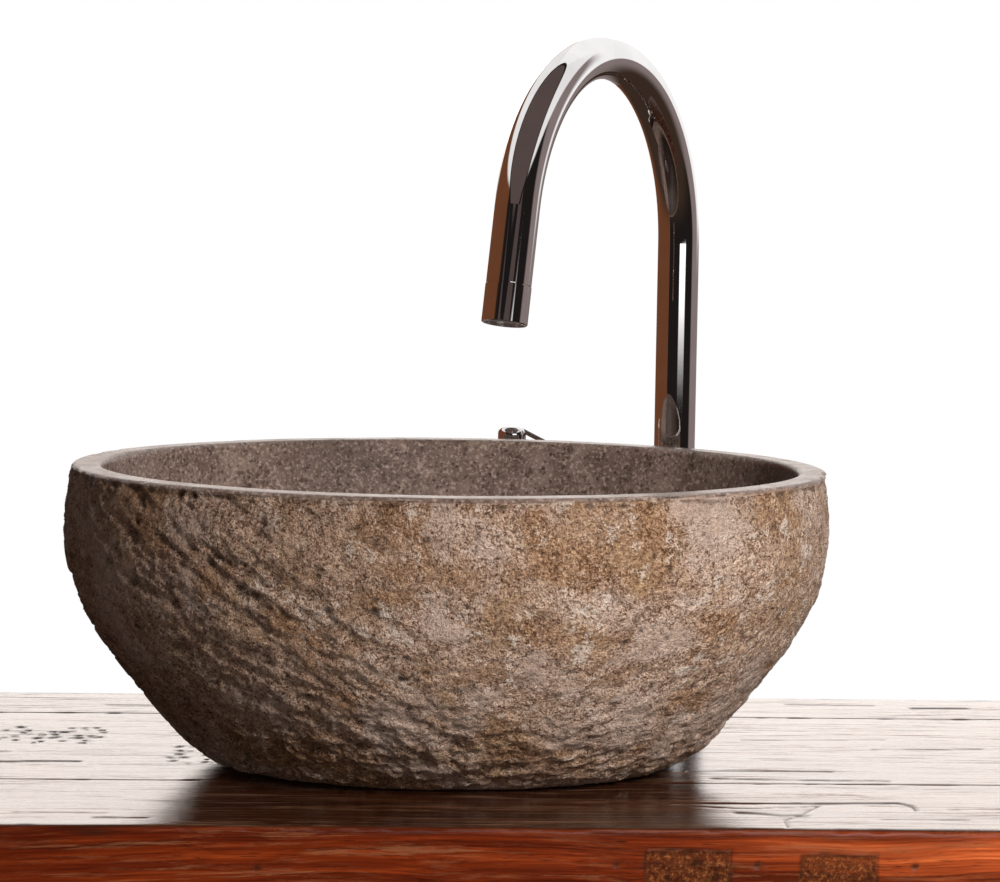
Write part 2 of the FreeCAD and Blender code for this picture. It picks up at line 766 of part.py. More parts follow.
def make_outlet():
    """The pipe to the wall; its ring-shaped pieces are turned about an axis that points into the wall."""
    towards_wall = FreeCAD.Vector(-1, 0, 0)
    stub_end = "(stub_reach - basin_from_wall)"
    here = ("0", stub_end, f"{SLAB_TOP} - outlet_depth")

    washer = ring("trap_outlet_washer", "pipe_radius + running_gap", "stub_radius",
                  "0", "trap_washer_thickness")
    finish(put(washer, here, towards_wall, "90"), "trap_outlet_washer")

    outlet_nut = turned("trap_outlet_nut", [
        ("stub_radius + running_gap", "trap_washer_thickness + trap_nut_lip - trap_nut_height"),
        ("outlet_nut_radius", "trap_washer_thickness + trap_nut_lip - trap_nut_height"),
        ("outlet_nut_radius", "trap_washer_thickness"),
        ("outlet_nut_radius - trap_nut_chamfer", "trap_washer_thickness + trap_nut_lip"),
        ("pipe_radius + pipe_play", "trap_washer_thickness + trap_nut_lip"),
        ("pipe_radius + pipe_play", "trap_washer_thickness"),
        ("stub_radius + running_gap", "trap_washer_thickness")])
    finish(put(outlet_nut, here, towards_wall, "90"), "trap_outlet_nut")

    # the end in the wall is a spigot, drawn down a little so that a push-fit socket slides on
    spigot_low = f"spigot_start - {stub_end}"
    spigot_high = f"pipe_into_wall - {stub_end}"
    pipe = turned("outlet_pipe", [
        ("pipe_bore", "-pipe_into_trap"), ("pipe_radius", "-pipe_into_trap"), ("pipe_radius", spigot_low),
        ("spigot_radius", spigot_low), ("spigot_radius", spigot_high), ("pipe_bore", spigot_high)])
    finish(put(pipe, here, towards_wall, "90"), "outlet_pipe")

    rose = turned("wall_flange", [
        ("pipe_radius + pipe_play", "-wall_flange_depth"), ("wall_flange_nose", "-wall_flange_depth"),
        ("wall_flange_knee", "wall_flange_knee_rise - wall_flange_depth"),
        ("wall_flange_radius", "-wall_flange_edge"), ("wall_flange_radius", "0"),
        ("wall_flange_radius - wall_flange_sheet", "0"),
        ("wall_flange_knee - wall_flange_edge",
         "wall_flange_knee_rise + wall_flange_sheet - wall_flange_depth"),
        ("pipe_radius + pipe_play", "wall_flange_sheet - wall_flange_depth")])
    finish(put(rose, ("0", "0", f"{SLAB_TOP} - outlet_depth"), towards_wall, "90"), "wall_flange")


# ---------------------------------------------------------------- tap

BODY_FOOT = "(tap_gasket_thickness + tap_flange_thickness)"


def lever_turn():
    """The axis about which the vertical is laid over to point along the lever."""
    heading = math.radians(value("lever_heading"))
    return FreeCAD.Vector(-math.sin(heading), math.cos(heading), 0)


LEVER_PLACE = ("tap_across", "-tap_from_wall", f"{SLAB_TOP} + lever_height")
LEVER_LAY = "90 - lever_slope"


def mixing_port(name):
    """The way of the mixed water from the lever's barrel to the middle of the tap's body."""
    reach = "tap_body_radius + port_overrun"
    return cylinder(name, "port_radius", reach, LEVER_PLACE, lever_turn(), LEVER_LAY)


def make_tap_body():
    gasket = ring("tap_base_gasket", "shank_radius + running_gap", "tap_gasket_radius",
                  "0", "tap_gasket_thickness")
    finish(put(gasket, TAP_PLACE), "tap_base_gasket")

    flange = turned("tap_base_flange", [
        ("shank_radius + running_gap", "tap_gasket_thickness"), ("tap_flange_radius", "tap_gasket_thickness"),
        ("tap_flange_radius", f"{BODY_FOOT} - tap_flange_edge"),
        ("tap_flange_radius - tap_flange_edge", BODY_FOOT),
        ("shank_radius + running_gap", BODY_FOOT)])
    finish(put(flange, TAP_PLACE), "tap_base_flange")

    column = turned("tap_column", [
        ("0", BODY_FOOT), ("tap_body_radius", BODY_FOOT),
        ("tap_body_radius", "tap_body_top - tap_body_edge"),
        ("tap_body_radius - tap_body_edge", "tap_body_top"),
        ("socket_radius", "tap_body_top"), ("socket_radius", "socket_bottom"),
        ("waterway_radius", "socket_bottom"), ("waterway_radius", "waterway_bottom"),
        ("0", "waterway_bottom")])
    put(column, TAP_PLACE)
    column.Label = "tap column"
    finish(cut("tap_body_ported", column, mixing_port("body_port")), "tap_body")

    bush = turned("swivel_bush", [
        ("bush_bore", "socket_bottom"), ("socket_radius", "socket_bottom"), ("socket_radius", "tap_body_top"),
        ("bush_bore", "tap_body_top"),
        ("bush_bore", "high_seal_bottom + swivel_seal_height"),
        ("swivel_seal_radius", "high_seal_bottom + swivel_seal_height"),
        ("swivel_seal_radius", "high_seal_bottom"), ("bush_bore", "high_seal_bottom"),
        ("bush_bore", "low_seal_bottom + swivel_seal_height"),
        ("swivel_seal_radius", "low_seal_bottom + swivel_seal_height"),
        ("swivel_seal_radius", "low_seal_bottom"), ("bush_bore", "low_seal_bottom")])
    put(bush, TAP_PLACE)
    bush.Label = "swivel bush blank"
    finish(cut("swivel_bush_ported", bush, mixing_port("bush_port")), "swivel_bush")

    seals = []
    for name, bottom in (("low_seal", "low_seal_bottom"), ("high_seal", "high_seal_bottom")):
        seal = ring(name, "bush_bore", "swivel_seal_radius", bottom, f"{bottom} + swivel_seal_height")
        seals.append(put(seal, TAP_PLACE))
    finish(grouped("seal_group", seals), "spout_seals")

    collar = turned("swivel_collar", [
        ("collar_bore", "tap_body_top"), ("collar_foot_radius", "tap_body_top"),
        ("collar_foot_radius", "tap_body_top + collar_foot_height"),
        ("collar_head_radius", "tap_body_top + collar_height"),
        ("collar_bore", "tap_body_top + collar_height")])
    finish(put(collar, TAP_PLACE), "swivel_collar")


def make_shank():
    body = turned("tap_shank", [
        ("0", "-shank_length"), ("shank_radius - shank_chamfer", "-shank_length"),
        ("shank_radius", "shank_chamfer - shank_length"),
        ("shank_radius", BODY_FOOT), ("0", BODY_FOOT)])
    sketch = circles(body, "XY", [("inlet_spacing / 2", "0", "inlet_radius"),
                                  ("-inlet_spacing / 2", "0", "inlet_radius")], "inlets")
    sketch.setExpression("AttachmentOffset.Base.z", bound("-shank_length"))
    doc.recompute()
    before = body.Shape.Volume
    inlets = body.newObject("PartDesign::Pocket", "inlet_bores")
    inlets.Profile = sketch
    inlets.Reversed = True
    bind(inlets, Length="inlet_depth")
    doc.recompute()
    if body.Shape.Volume >= before:
        raise RuntimeError("the shank's inlets cut nothing")
    finish(put(body, TAP_PLACE), "tap_shank")

    top = "-slab_thickness"
    for kind, outer, thickness in (("rubber", "shank_washer_radius", "rubber_washer_thickness"),
                                   ("steel", "shank_washer_radius - washer_inset", "steel_washer_thickness")):
        node = f"shank_{kind}_washer"
        bottom = f"{top} - {thickness}"
        finish(put(ring(node, "shank_radius + washer_play", outer, bottom, top), TAP_PLACE), node)
        top = bottom
    place = ("tap_across", "-tap_from_wall", f"{SLAB_TOP} {top} - nut_height")
    finish(nut("shank_nut", "shank_nut_radius", "shank_radius + running_gap", place), "shank_nut")


# The spout's own frame has its origin on the riser's axis, at the timber's upper face, with +X along
# the spout's heading.
LEG_REACH = "(arch_radius + arch_radius * cos(leg_lean) + leg_length * sin(leg_lean))"
LEG_END = "(arch_start + arch_radius * sin(leg_lean) - leg_length * cos(leg_lean))"


def spout_path(body):
    """Riser, arch and leaning leg as one tangent line."""
    sketch = sketch_on(body, "XZ", "path")
    vector = FreeCAD.Vector
    lean = math.radians(value("leg_lean"))
    centre = vector(value("arch_radius"), value("arch_start"), 0)
    arch = Part.Circle(centre, vector(0, 0, 1), value("arch_radius"))
    crown_end = arch.value(lean)
    sketch.addGeometry(Part.LineSegment(vector(0, value("tube_bottom"), 0), vector(0, centre.y, 0)), False)
    sketch.addGeometry(Part.ArcOfCircle(arch, lean, math.pi), False)
    leg_end = vector(value(LEG_REACH), value(LEG_END), 0)
    sketch.addGeometry(Part.LineSegment(vector(crown_end.x, crown_end.y, 0), leg_end), False)
    sketch.addConstraint(Sketcher.Constraint("PointOnObject", 0, 1, -2))
    sketch.addConstraint(Sketcher.Constraint("Vertical", 0))
    constrain(sketch, "DistanceY", "tube_bottom", -1, 1, 0, 1)
    constrain(sketch, "DistanceY", "arch_start", -1, 1, 0, 2)
    sketch.addConstraint(Sketcher.Constraint("Tangent", 0, 2, 1, 2))
    constrain(sketch, "Radius", "arch_radius", 1)
    sketch.addConstraint(Sketcher.Constraint("Tangent", 1, 1, 2, 1))
    constrain(sketch, "DistanceX", LEG_REACH, -1, 1, 2, 2)
    constrain(sketch, "DistanceY", LEG_END, -1, 1, 2, 2)
    return sketch


def make_spout():
    body = new_body("spout_tube")
    path = spout_path(body)
    section = circles(body, "XY", [("0", "0", "tube_radius"), ("0", "0", "tube_bore")], "section")
    section.setExpression("AttachmentOffset.Base.z", bound("tube_bottom"))
    pipe = body.newObject("PartDesign::AdditivePipe", "spout_pipe")
    pipe.Profile = section
    pipe.Spine = (path, ["Edge1", "Edge2", "Edge3"])
    put(body, TAP_PLACE, FreeCAD.Vector(0, 0, 1), "spout_heading")
    finish(body, "spout_tube")

    # sleeve and insert are turned about the leg: height runs up the leg from the outlet
    heading = FreeCAD.Rotation(FreeCAD.Vector(0, 0, 1), value("spout_heading"))
    lean = FreeCAD.Rotation(FreeCAD.Vector(0, 1, 0), -value("leg_lean"))
    along_leg = heading.multiply(lean)
    reach = f"({LEG_REACH} + sleeve_length * sin(leg_lean))"
    outlet = (f"tap_across + {reach} * cos(spout_heading)", f"-tap_from_wall + {reach} * sin(spout_heading)",
              f"{SLAB_TOP} + {LEG_END} - sleeve_length * cos(leg_lean)")

    sleeve = turned("aerator_sleeve", [
        ("sleeve_bore", "0"), ("sleeve_radius - sleeve_edge", "0"), ("sleeve_radius", "sleeve_edge"),
        ("sleeve_radius", "sleeve_length - sleeve_neck_length"),
        ("sleeve_neck_radius", "sleeve_length - sleeve_neck_length"),
        ("sleeve_neck_radius", "sleeve_length"), ("sleeve_bore", "sleeve_length")])
    sleeve.Placement = FreeCAD.Placement(FreeCAD.Vector(), along_leg)
    finish(put(sleeve, outlet), "aerator_sleeve")

    insert = new_body("aerator_insert")
    disc = circles(insert, "XY", [("0", "0", "sleeve_bore - running_gap")], "disc")
    disc.setExpression("AttachmentOffset.Base.z", bound("insert_recess"))
    padded(insert, disc, "insert_length")
    for name, distance, count in (("outer_jets", "outer_jet_ring", "outer_jet_count"),
                                  ("inner_jets", "inner_jet_ring", "inner_jet_count")):
        jet = circles(insert, "XY", [(distance, "0", "jet_radius")], name)
        hole = bored(insert, jet, f"{name}_hole")
        pattern = insert.newObject("PartDesign::PolarPattern", f"{name}_pattern")
        pattern.Originals = [hole]
        pattern.Axis = (jet, ["N_Axis"])
        pattern.Angle = 360
        bind(pattern, Occurrences=count)
        insert.Tip = pattern
    insert.Placement = FreeCAD.Placement(FreeCAD.Vector(), along_leg)
    finish(put(insert, outlet), "aerator_insert")


def make_lever():
    axis = lever_turn()

    def along(item):
        return put(item, LEVER_PLACE, axis, LEVER_LAY)

    outer = along(ring("barrel_blank", "barrel_bore", "barrel_radius", "barrel_start", "barrel_end"))
    outer.Label = "barrel blank"
    column = cylinder("barrel_saddle", "tap_body_radius", "tap_body_top + collar_height", TAP_PLACE)
    finish(cut("barrel_cut", outer, column), "lever_barrel")

    cartridge = turned("mixing_cartridge", [
        ("cartridge_bore", "cartridge_start"), ("cartridge_radius", "cartridge_start"),
        ("cartridge_radius", "cartridge_end"), ("cartridge_mouth", "cartridge_end"),
        ("cartridge_mouth", "cartridge_shoulder"), ("cartridge_bore", "cartridge_shoulder")])
    finish(along(cartridge), "mixing_cartridge")

    core = turned("mixing_core", [
        ("0", "core_start"), ("core_radius", "core_start"), ("core_radius", "core_end"),
        ("core_socket_radius", "core_end"), ("core_socket_radius", "core_socket_start"),
        ("0", "core_socket_start")])
    finish(along(core), "mixing_core")

    face = "(barrel_end + nut_cap_thickness)"
    cap = turned("cartridge_nut", [
        ("nut_mouth_radius", "cartridge_end"), ("nut_thread_radius", "cartridge_end"),
        ("nut_thread_radius", "barrel_end"), ("barrel_radius", "barrel_end"),
        ("nut_face_radius", face), ("nut_mouth_radius", face)])
    finish(along(cap), "cartridge_nut")

    def on_axis(reach):
        """The point of the lever's axis at this reach."""
        out = f"({reach}) * cos(lever_slope)"
        return (f"tap_across + {out} * cos(lever_heading)", f"-tap_from_wall + {out} * sin(lever_heading)",
                f"{SLAB_TOP} + lever_height + ({reach}) * sin(lever_slope)")

    ball = doc.addObject("Part::Sphere", "lever_ball")
    bind(ball, Radius="ball_radius")
    put(ball, on_axis("ball_reach"))
    rod_length = "knob_reach - knob_bite - ball_reach"
    rod = cylinder("lever_rod_bar", "rod_radius", rod_length, on_axis("ball_reach"), axis, LEVER_LAY)
    finish(fused("lever_rod_fused", [ball, rod]), "lever_rod")

    # the upright knob hangs below the end of the sloping axis
    knob = turned("knob_blank", [("0", "-knob_foot_drop"), ("knob_radius", "-knob_foot_drop"),
                                 ("knob_radius", "-knob_top_drop"), ("0", "-knob_top_drop")])
    doc.recompute()
    for height, radius in (("-knob_top_drop", "knob_dome_radius"),
                           ("-knob_foot_drop", "knob_foot_radius")):
        level_height = value(height)
        rounded(knob, knob.Tip, radius, lambda edge: round_at(edge, level_height))
        doc.recompute()
    put(knob, on_axis("knob_reach"))
    knob.Label = "knob blank"
    socket = cylinder("knob_socket", "rod_radius", rod_length, on_axis("ball_reach"), axis, LEVER_LAY)
    finish(cut("knob_cut", knob, socket), "lever_knob")


# ---------------------------------------------------------------- build, check and write

def check_document():
    """Stops the build when a feature has failed or a sub-part has no valid shape."""
    for item in doc.Objects:
        if "Invalid" in item.State or "Error" in item.State:
            raise RuntimeError(f"{item.Name} ({item.Label}): {item.State}")
    for node, item in finished.items():
        shape = item.Shape
        if shape.isNull() or not shape.isValid() or not shape.Solids:
            raise RuntimeError(f"{node} has no valid solid")


def main():
    make_boards()
    make_bracket("left_bracket", -1)
    make_bracket("right_bracket", 1)
    make_bracket_screws()
    make_basin()
    make_waste()
    make_plug()
    make_trap()
    make_outlet()
    make_tap_body()
    make_shank()
    make_spout()
    make_lever()
    doc.recompute()
    check_document()
    os.makedirs("parts", exist_ok=True)
    for node, item in finished.items():
        item.Shape.exportStep(f"parts/{node}.step")
    print(len(finished), "sub-parts written")


main()
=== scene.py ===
import itertools
import json
import math

import bpy
import numpy as np
from mathutils import Matrix, Vector
from mathutils.bvhtree import BVHTree


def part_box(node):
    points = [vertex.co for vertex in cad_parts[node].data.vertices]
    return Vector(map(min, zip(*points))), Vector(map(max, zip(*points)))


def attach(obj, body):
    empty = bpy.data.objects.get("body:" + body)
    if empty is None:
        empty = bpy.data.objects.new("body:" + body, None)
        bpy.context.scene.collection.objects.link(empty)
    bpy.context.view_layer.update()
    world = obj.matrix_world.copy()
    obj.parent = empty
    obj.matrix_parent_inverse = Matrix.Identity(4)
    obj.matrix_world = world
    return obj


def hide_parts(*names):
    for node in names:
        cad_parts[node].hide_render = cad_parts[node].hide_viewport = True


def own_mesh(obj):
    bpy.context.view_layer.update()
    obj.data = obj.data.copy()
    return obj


# Looks of a rough stone vessel basin on a varnished timber top, with its chrome tap, waste and trap.
# Metres, +X along the wall, +Y into the wall, +Z up, origin at the wall bolts.

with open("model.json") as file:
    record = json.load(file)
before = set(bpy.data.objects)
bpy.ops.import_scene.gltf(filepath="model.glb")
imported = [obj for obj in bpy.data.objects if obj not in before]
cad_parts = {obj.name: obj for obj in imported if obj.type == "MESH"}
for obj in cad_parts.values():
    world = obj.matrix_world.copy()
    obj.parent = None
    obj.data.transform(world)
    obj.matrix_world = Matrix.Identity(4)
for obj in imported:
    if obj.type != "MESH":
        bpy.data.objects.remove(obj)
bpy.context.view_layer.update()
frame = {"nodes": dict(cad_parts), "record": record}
nodes = frame["nodes"]
MM = 0.001


# ---------------------------------------------------------------- seeded noise for shapes

def lattice(corner, seed):
    """A repeatable number from 0 to 1 for each whole-number corner."""
    mask = 0xFFFFFFFF
    key = corner[:, 0] * 374761393 + corner[:, 1] * 668265263 + corner[:, 2] * 1442695041 + seed * 97
    key = (key ^ (key >> 13)) & mask
    key = (key * 1274126177) & mask
    key = (key ^ (key >> 16)) & mask
    key = (key * 668265263) & mask
    return ((key ^ (key >> 15)) & 0xFFFFFF) / float(0xFFFFFF)


def cells(points, size):
    scaled = points / np.asarray(size, float) + 1000.0
    base = np.floor(scaled).astype(np.int64)
    return scaled, base


def noise(points, size, seed):
    """Smooth noise from -1 to 1 whose features are about one size across."""
    scaled, base = cells(points, size)
    part = scaled - base
    part = part * part * (3 - 2 * part)
    total = np.zeros(len(points))
    for corner in itertools.product((0, 1), repeat=3):
        weight = np.prod(np.where(corner, part, 1 - part), axis=1)
        total += weight * lattice(base + corner, seed)
    return total * 2 - 1


def fractal(points, size, seed, octaves):
    total = np.zeros(len(points))
    for octave in range(octaves):
        total += noise(points, np.asarray(size, float) / 2 ** octave, seed + octave) / 2 ** octave
    return total


def nearest_seed(points, size, seed):
    """Distance to the nearest scattered seed point, in sizes, and a number from 0 to 1 that names it."""
    scaled, base = cells(points, size)
    best = np.full(len(points), 9.0)
    name = np.zeros(len(points))
    for step in itertools.product((-1, 0, 1), repeat=3):
        corner = base + step
        centre = corner + np.stack([lattice(corner, seed + axis) for axis in range(3)], axis=1)
        distance = np.linalg.norm(scaled - centre, axis=1)
        nearer = distance < best
        best[nearer] = distance[nearer]
        name[nearer] = lattice(corner, seed + 7)[nearer]
    return best, name


def smooth_step(value, low, high):
    part = np.clip((value - low) / (high - low), 0, 1)
    return part * part * (3 - 2 * part)


def bell(distance, width):
    return np.exp(-(distance / width) ** 2)


# ---------------------------------------------------------------- meshes

def grid_faces(rows, columns, close_rows, close_columns):
    """Quads between neighbouring points of a grid whose points are numbered row by row."""
    row = np.arange(rows if close_rows else rows - 1)
    column = np.arange(columns if close_columns else columns - 1)
    row, column = np.meshgrid(row, column, indexing="ij")
    next_row = (row + 1) % rows
    next_column = (column + 1) % columns
    quads = [row * columns + column, row * columns + next_column,
             next_row * columns + next_column, next_row * columns + column]
    return np.stack(quads, axis=-1).reshape(-1, 4).tolist()


def new_piece(name, points, faces, material, body, attributes=None):
    mesh = bpy.data.meshes.new(name)
    mesh.from_pydata(points.tolist(), [], faces)
    for key, values in (attributes or {}).items():
        attribute = mesh.attributes.new(key, "FLOAT", "POINT")
        attribute.data.foreach_set("value", np.asarray(values, np.float32))
    mesh.polygons.foreach_set("use_smooth", [True] * len(mesh.polygons))
    mesh.materials.append(material)
    mesh.update()
    piece = bpy.data.objects.new(name, mesh)
    bpy.context.scene.collection.objects.link(piece)
    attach(piece, body)
    return piece


def closed_grid_normals(points):
    """Unit normals of a grid, shape (rows, columns, 3), whose rows and columns both close on themselves."""
    def slope(axis):
        return np.roll(points, -1, axis) - np.roll(points, 1, axis)
    normal = np.cross(slope(1), slope(0))
    return normal / np.maximum(np.linalg.norm(normal, axis=-1, keepdims=True), 1e-12)


# ---------------------------------------------------------------- node materials

class Graph:
    """One node tree, with short names for the nodes that the materials use."""

    def __init__(self, tree):
        self.tree = tree
        self.nodes = tree.nodes

    def add(self, kind, inputs, **settings):
        node = self.nodes.new(kind)
        for key, value in settings.items():
            setattr(node, key, value)
        for key, value in inputs.items():
            self.feed(node.inputs[key], value)
        return node

    def feed(self, socket, value):
        if isinstance(value, bpy.types.NodeSocket):
            self.tree.links.new(value, socket)
        elif value is not None:
            socket.default_value = value

    def place(self):
        return self.add("ShaderNodeTexCoord", {}).outputs["Object"]

    def attribute(self, name):
        return self.add("ShaderNodeAttribute", {}, attribute_name=name).outputs["Fac"]

    def scaled(self, vector, factors):
        return self.add("ShaderNodeVectorMath", {0: vector, 1: factors}, operation="MULTIPLY").outputs[0]

    def moved(self, vector, offset):
        return self.add("ShaderNodeVectorMath", {0: vector, 1: offset}, operation="ADD").outputs[0]

    def noise(self, vector, scale, detail=4.0, rough=0.55, twist=0.0):
        inputs = {"Vector": vector, "Scale": scale, "Detail": detail, "Roughness": rough, "Distortion": twist}
        return self.add("ShaderNodeTexNoise", inputs).outputs[0]

    def noise_colour(self, vector, scale, detail=2.0):
        return self.add("ShaderNodeTexNoise", {"Vector": vector, "Scale": scale, "Detail": detail}).outputs[1]

    def grains(self, vector, scale):
        """Distance from the middle of the nearest scattered grain."""
        node = self.add("ShaderNodeTexVoronoi", {"Vector": vector, "Scale": scale}, feature="F1")
        return node.outputs["Distance"]

    def math(self, operation, first, second=None, clamp=False):
        node = self.add("ShaderNodeMath", {0: first}, operation=operation, use_clamp=clamp)
        self.feed(node.inputs[1], second)
        return node.outputs[0]

    def ramp(self, factor, stops):
        node = self.add("ShaderNodeValToRGB", {"Fac": factor})
        ramp = node.color_ramp
        while len(ramp.elements) < len(stops):
            ramp.elements.new(0.5)
        for element, (position, colour) in zip(ramp.elements, stops):
            element.position = position
            element.color = (*colour, 1.0)
        return node.outputs[0]

    def levels(self, value, low, high, out_low=0.0, out_high=1.0):
        inputs = {"Value": value, "From Min": low, "From Max": high, "To Min": out_low, "To Max": out_high}
        return self.add("ShaderNodeMapRange", inputs, interpolation_type="SMOOTHSTEP").outputs[0]

    def mix(self, factor, first, second, blend="MIX"):
        node = self.add("ShaderNodeMix", {}, data_type="RGBA", blend_type=blend)
        self.feed(node.inputs[0], factor)
        for socket, value in ((node.inputs[6], first), (node.inputs[7], second)):
            self.feed(socket, (*value, 1.0) if isinstance(value, tuple) else value)
        return node.outputs[2]

    def bump(self, height, strength, distance):
        inputs = {"Height": height, "Strength": strength, "Distance": distance}
        return self.add("ShaderNodeBump", inputs).outputs[0]


def new_material(name, colour):
    """A material, its graph and its shader; the colour is what a viewport shows."""
    material = bpy.data.materials.new(name)
    material.use_nodes = True
    material.diffuse_color = (*colour, 1.0)
    graph = Graph(material.node_tree)
    return material, graph, graph.nodes["Principled BSDF"]


def stone_material():
    material, graph, shader = new_material("stone_look", (0.35, 0.25, 0.19))
    place = graph.place()
    honed = graph.attribute("honed")
    relief_shade = graph.attribute("relief_shade")

    # rough outside: fine light and dark grains, with tan, ochre, pale and rosy patches
    fine = graph.noise(place, 900.0, 3.0, 0.75)
    grain = graph.noise(place, 430.0, 4.0, 0.75)
    coarse = graph.noise(place, 95.0, 4.0, 0.65, 0.6)
    speckle = graph.math("ADD", graph.math("MULTIPLY", fine, 0.45), graph.math("MULTIPLY", grain, 0.40))
    speckle = graph.math("ADD", speckle, graph.math("MULTIPLY", coarse, 0.15))
    rough_colour = graph.ramp(speckle, [
        (0.39, (0.075, 0.038, 0.024)), (0.45, (0.285, 0.175, 0.122)), (0.50, (0.53, 0.365, 0.272)),
        (0.55, (0.80, 0.61, 0.485)), (0.61, (0.98, 0.87, 0.77))])
    soft_edge = graph.math("MULTIPLY", graph.math("SUBTRACT", speckle, 0.5), 0.80)
    drift = graph.noise(graph.scaled(place, (1.0, 1.0, 1.7)), 15.0, 4.0, 0.6, 0.8)
    tanned = graph.mix(0.85, rough_colour, (0.66, 0.50, 0.30), "MULTIPLY")
    tan_mask = graph.levels(graph.math("ADD", drift, soft_edge), 0.46, 0.60, 0.0, 0.78)
    rough_colour = graph.mix(tan_mask, rough_colour, tanned)
    ochre = graph.noise(graph.moved(place, (0.31, 0.17, 0.05)), 30.0, 4.0, 0.65, 1.0)
    ochre_mask = graph.levels(graph.math("ADD", ochre, soft_edge), 0.54, 0.68, 0.0, 0.42)
    rough_colour = graph.mix(ochre_mask, rough_colour, (0.46, 0.300, 0.150))
    pale = graph.noise(graph.moved(place, (0.83, 0.41, 0.27)), 60.0, 5.0, 0.75, 0.1)
    pale_mask = graph.levels(graph.math("ADD", pale, soft_edge), 0.55, 0.66, 0.0, 0.85)
    rough_colour = graph.mix(pale_mask, rough_colour, (0.88, 0.77, 0.69))
    rosy = graph.noise(graph.moved(place, (0.13, 0.57, 0.91)), 20.0, 3.0, 0.6, 0.4)
    rosy_mask = graph.levels(graph.math("ADD", rosy, soft_edge), 0.52, 0.64, 0.0, 0.55)
    rough_colour = graph.mix(rosy_mask, rough_colour, (0.76, 0.62, 0.56))
    # painted shade: the rough outside is painted darker towards its left-hand side, away from the key light
    across, _, _ = graph.add("ShaderNodeSeparateXYZ", {0: place}).outputs
    left_side_painted_shade = graph.levels(across, -0.20, 0.14, 0.58, 0.0)
    rough_colour = graph.mix(left_side_painted_shade, rough_colour, (0.10, 0.058, 0.036), "MULTIPLY")
    # painted shade: the hollows, pits and crumbs of the rough outside and the line under the rim are painted
    # near black
    hollow_shade = graph.levels(relief_shade, -1.3, -0.20, 1.0, 0.0)
    rough_colour = graph.mix(graph.math("MULTIPLY", hollow_shade, 0.70), rough_colour, (0.030, 0.016, 0.009))

    # honed inside and rim: grey mauve with paler and darker flecks
    cloud = graph.noise(place, 55.0, 5.0, 0.65, 0.5)
    honed_colour = graph.ramp(cloud, [
        (0.30, (0.078, 0.053, 0.044)), (0.50, (0.118, 0.084, 0.071)), (0.72, (0.175, 0.130, 0.112))])
    pale_fleck = graph.levels(graph.noise(place, 480.0, 3.0, 0.7), 0.50, 0.64, 0.0, 0.60)
    honed_colour = graph.mix(pale_fleck, honed_colour, (0.34, 0.270, 0.235))
    ragged = graph.scaled(graph.moved(graph.noise_colour(place, 700.0), (-0.5, -0.5, -0.5)),
                          (0.0035, 0.0035, 0.0035))
    distance = graph.grains(graph.moved(place, ragged), 380.0)
    fleck = graph.math("MULTIPLY", graph.levels(distance, 0.20, 0.46, 1.0, 0.0),
                       graph.levels(graph.noise(place, 130.0, 2.0), 0.43, 0.56))
    honed_colour = graph.mix(graph.math("MULTIPLY", fleck, 0.72), honed_colour, (0.018, 0.012, 0.010))
    smudge = graph.levels(graph.noise(place, 210.0, 3.0, 0.7), 0.56, 0.66, 0.0, 0.65)
    honed_colour = graph.mix(smudge, honed_colour, (0.030, 0.020, 0.016))

    graph.feed(shader.inputs["Base Color"], graph.mix(honed, rough_colour, honed_colour))
    roughness = graph.levels(grain, 0.3, 0.7, 0.46, 0.78)
    smooth = graph.levels(cloud, 0.3, 0.7, 0.26, 0.40)
    graph.feed(shader.inputs["Roughness"], graph.mix(honed, roughness, smooth))
    crag = graph.math("ABSOLUTE", graph.math("SUBTRACT", graph.noise(place, 150.0, 5.0, 0.7, 0.3), 0.5))
    height = graph.math("SUBTRACT", graph.math("ADD", speckle, coarse), graph.math("MULTIPLY", crag, 2.6))
    rough_normal = graph.bump(graph.math("MULTIPLY", height, graph.levels(honed, 0.0, 1.0, 1.0, 0.03)),
                              1.0, 5.5 * MM)
    graph.feed(shader.inputs["Normal"], rough_normal)
    return material


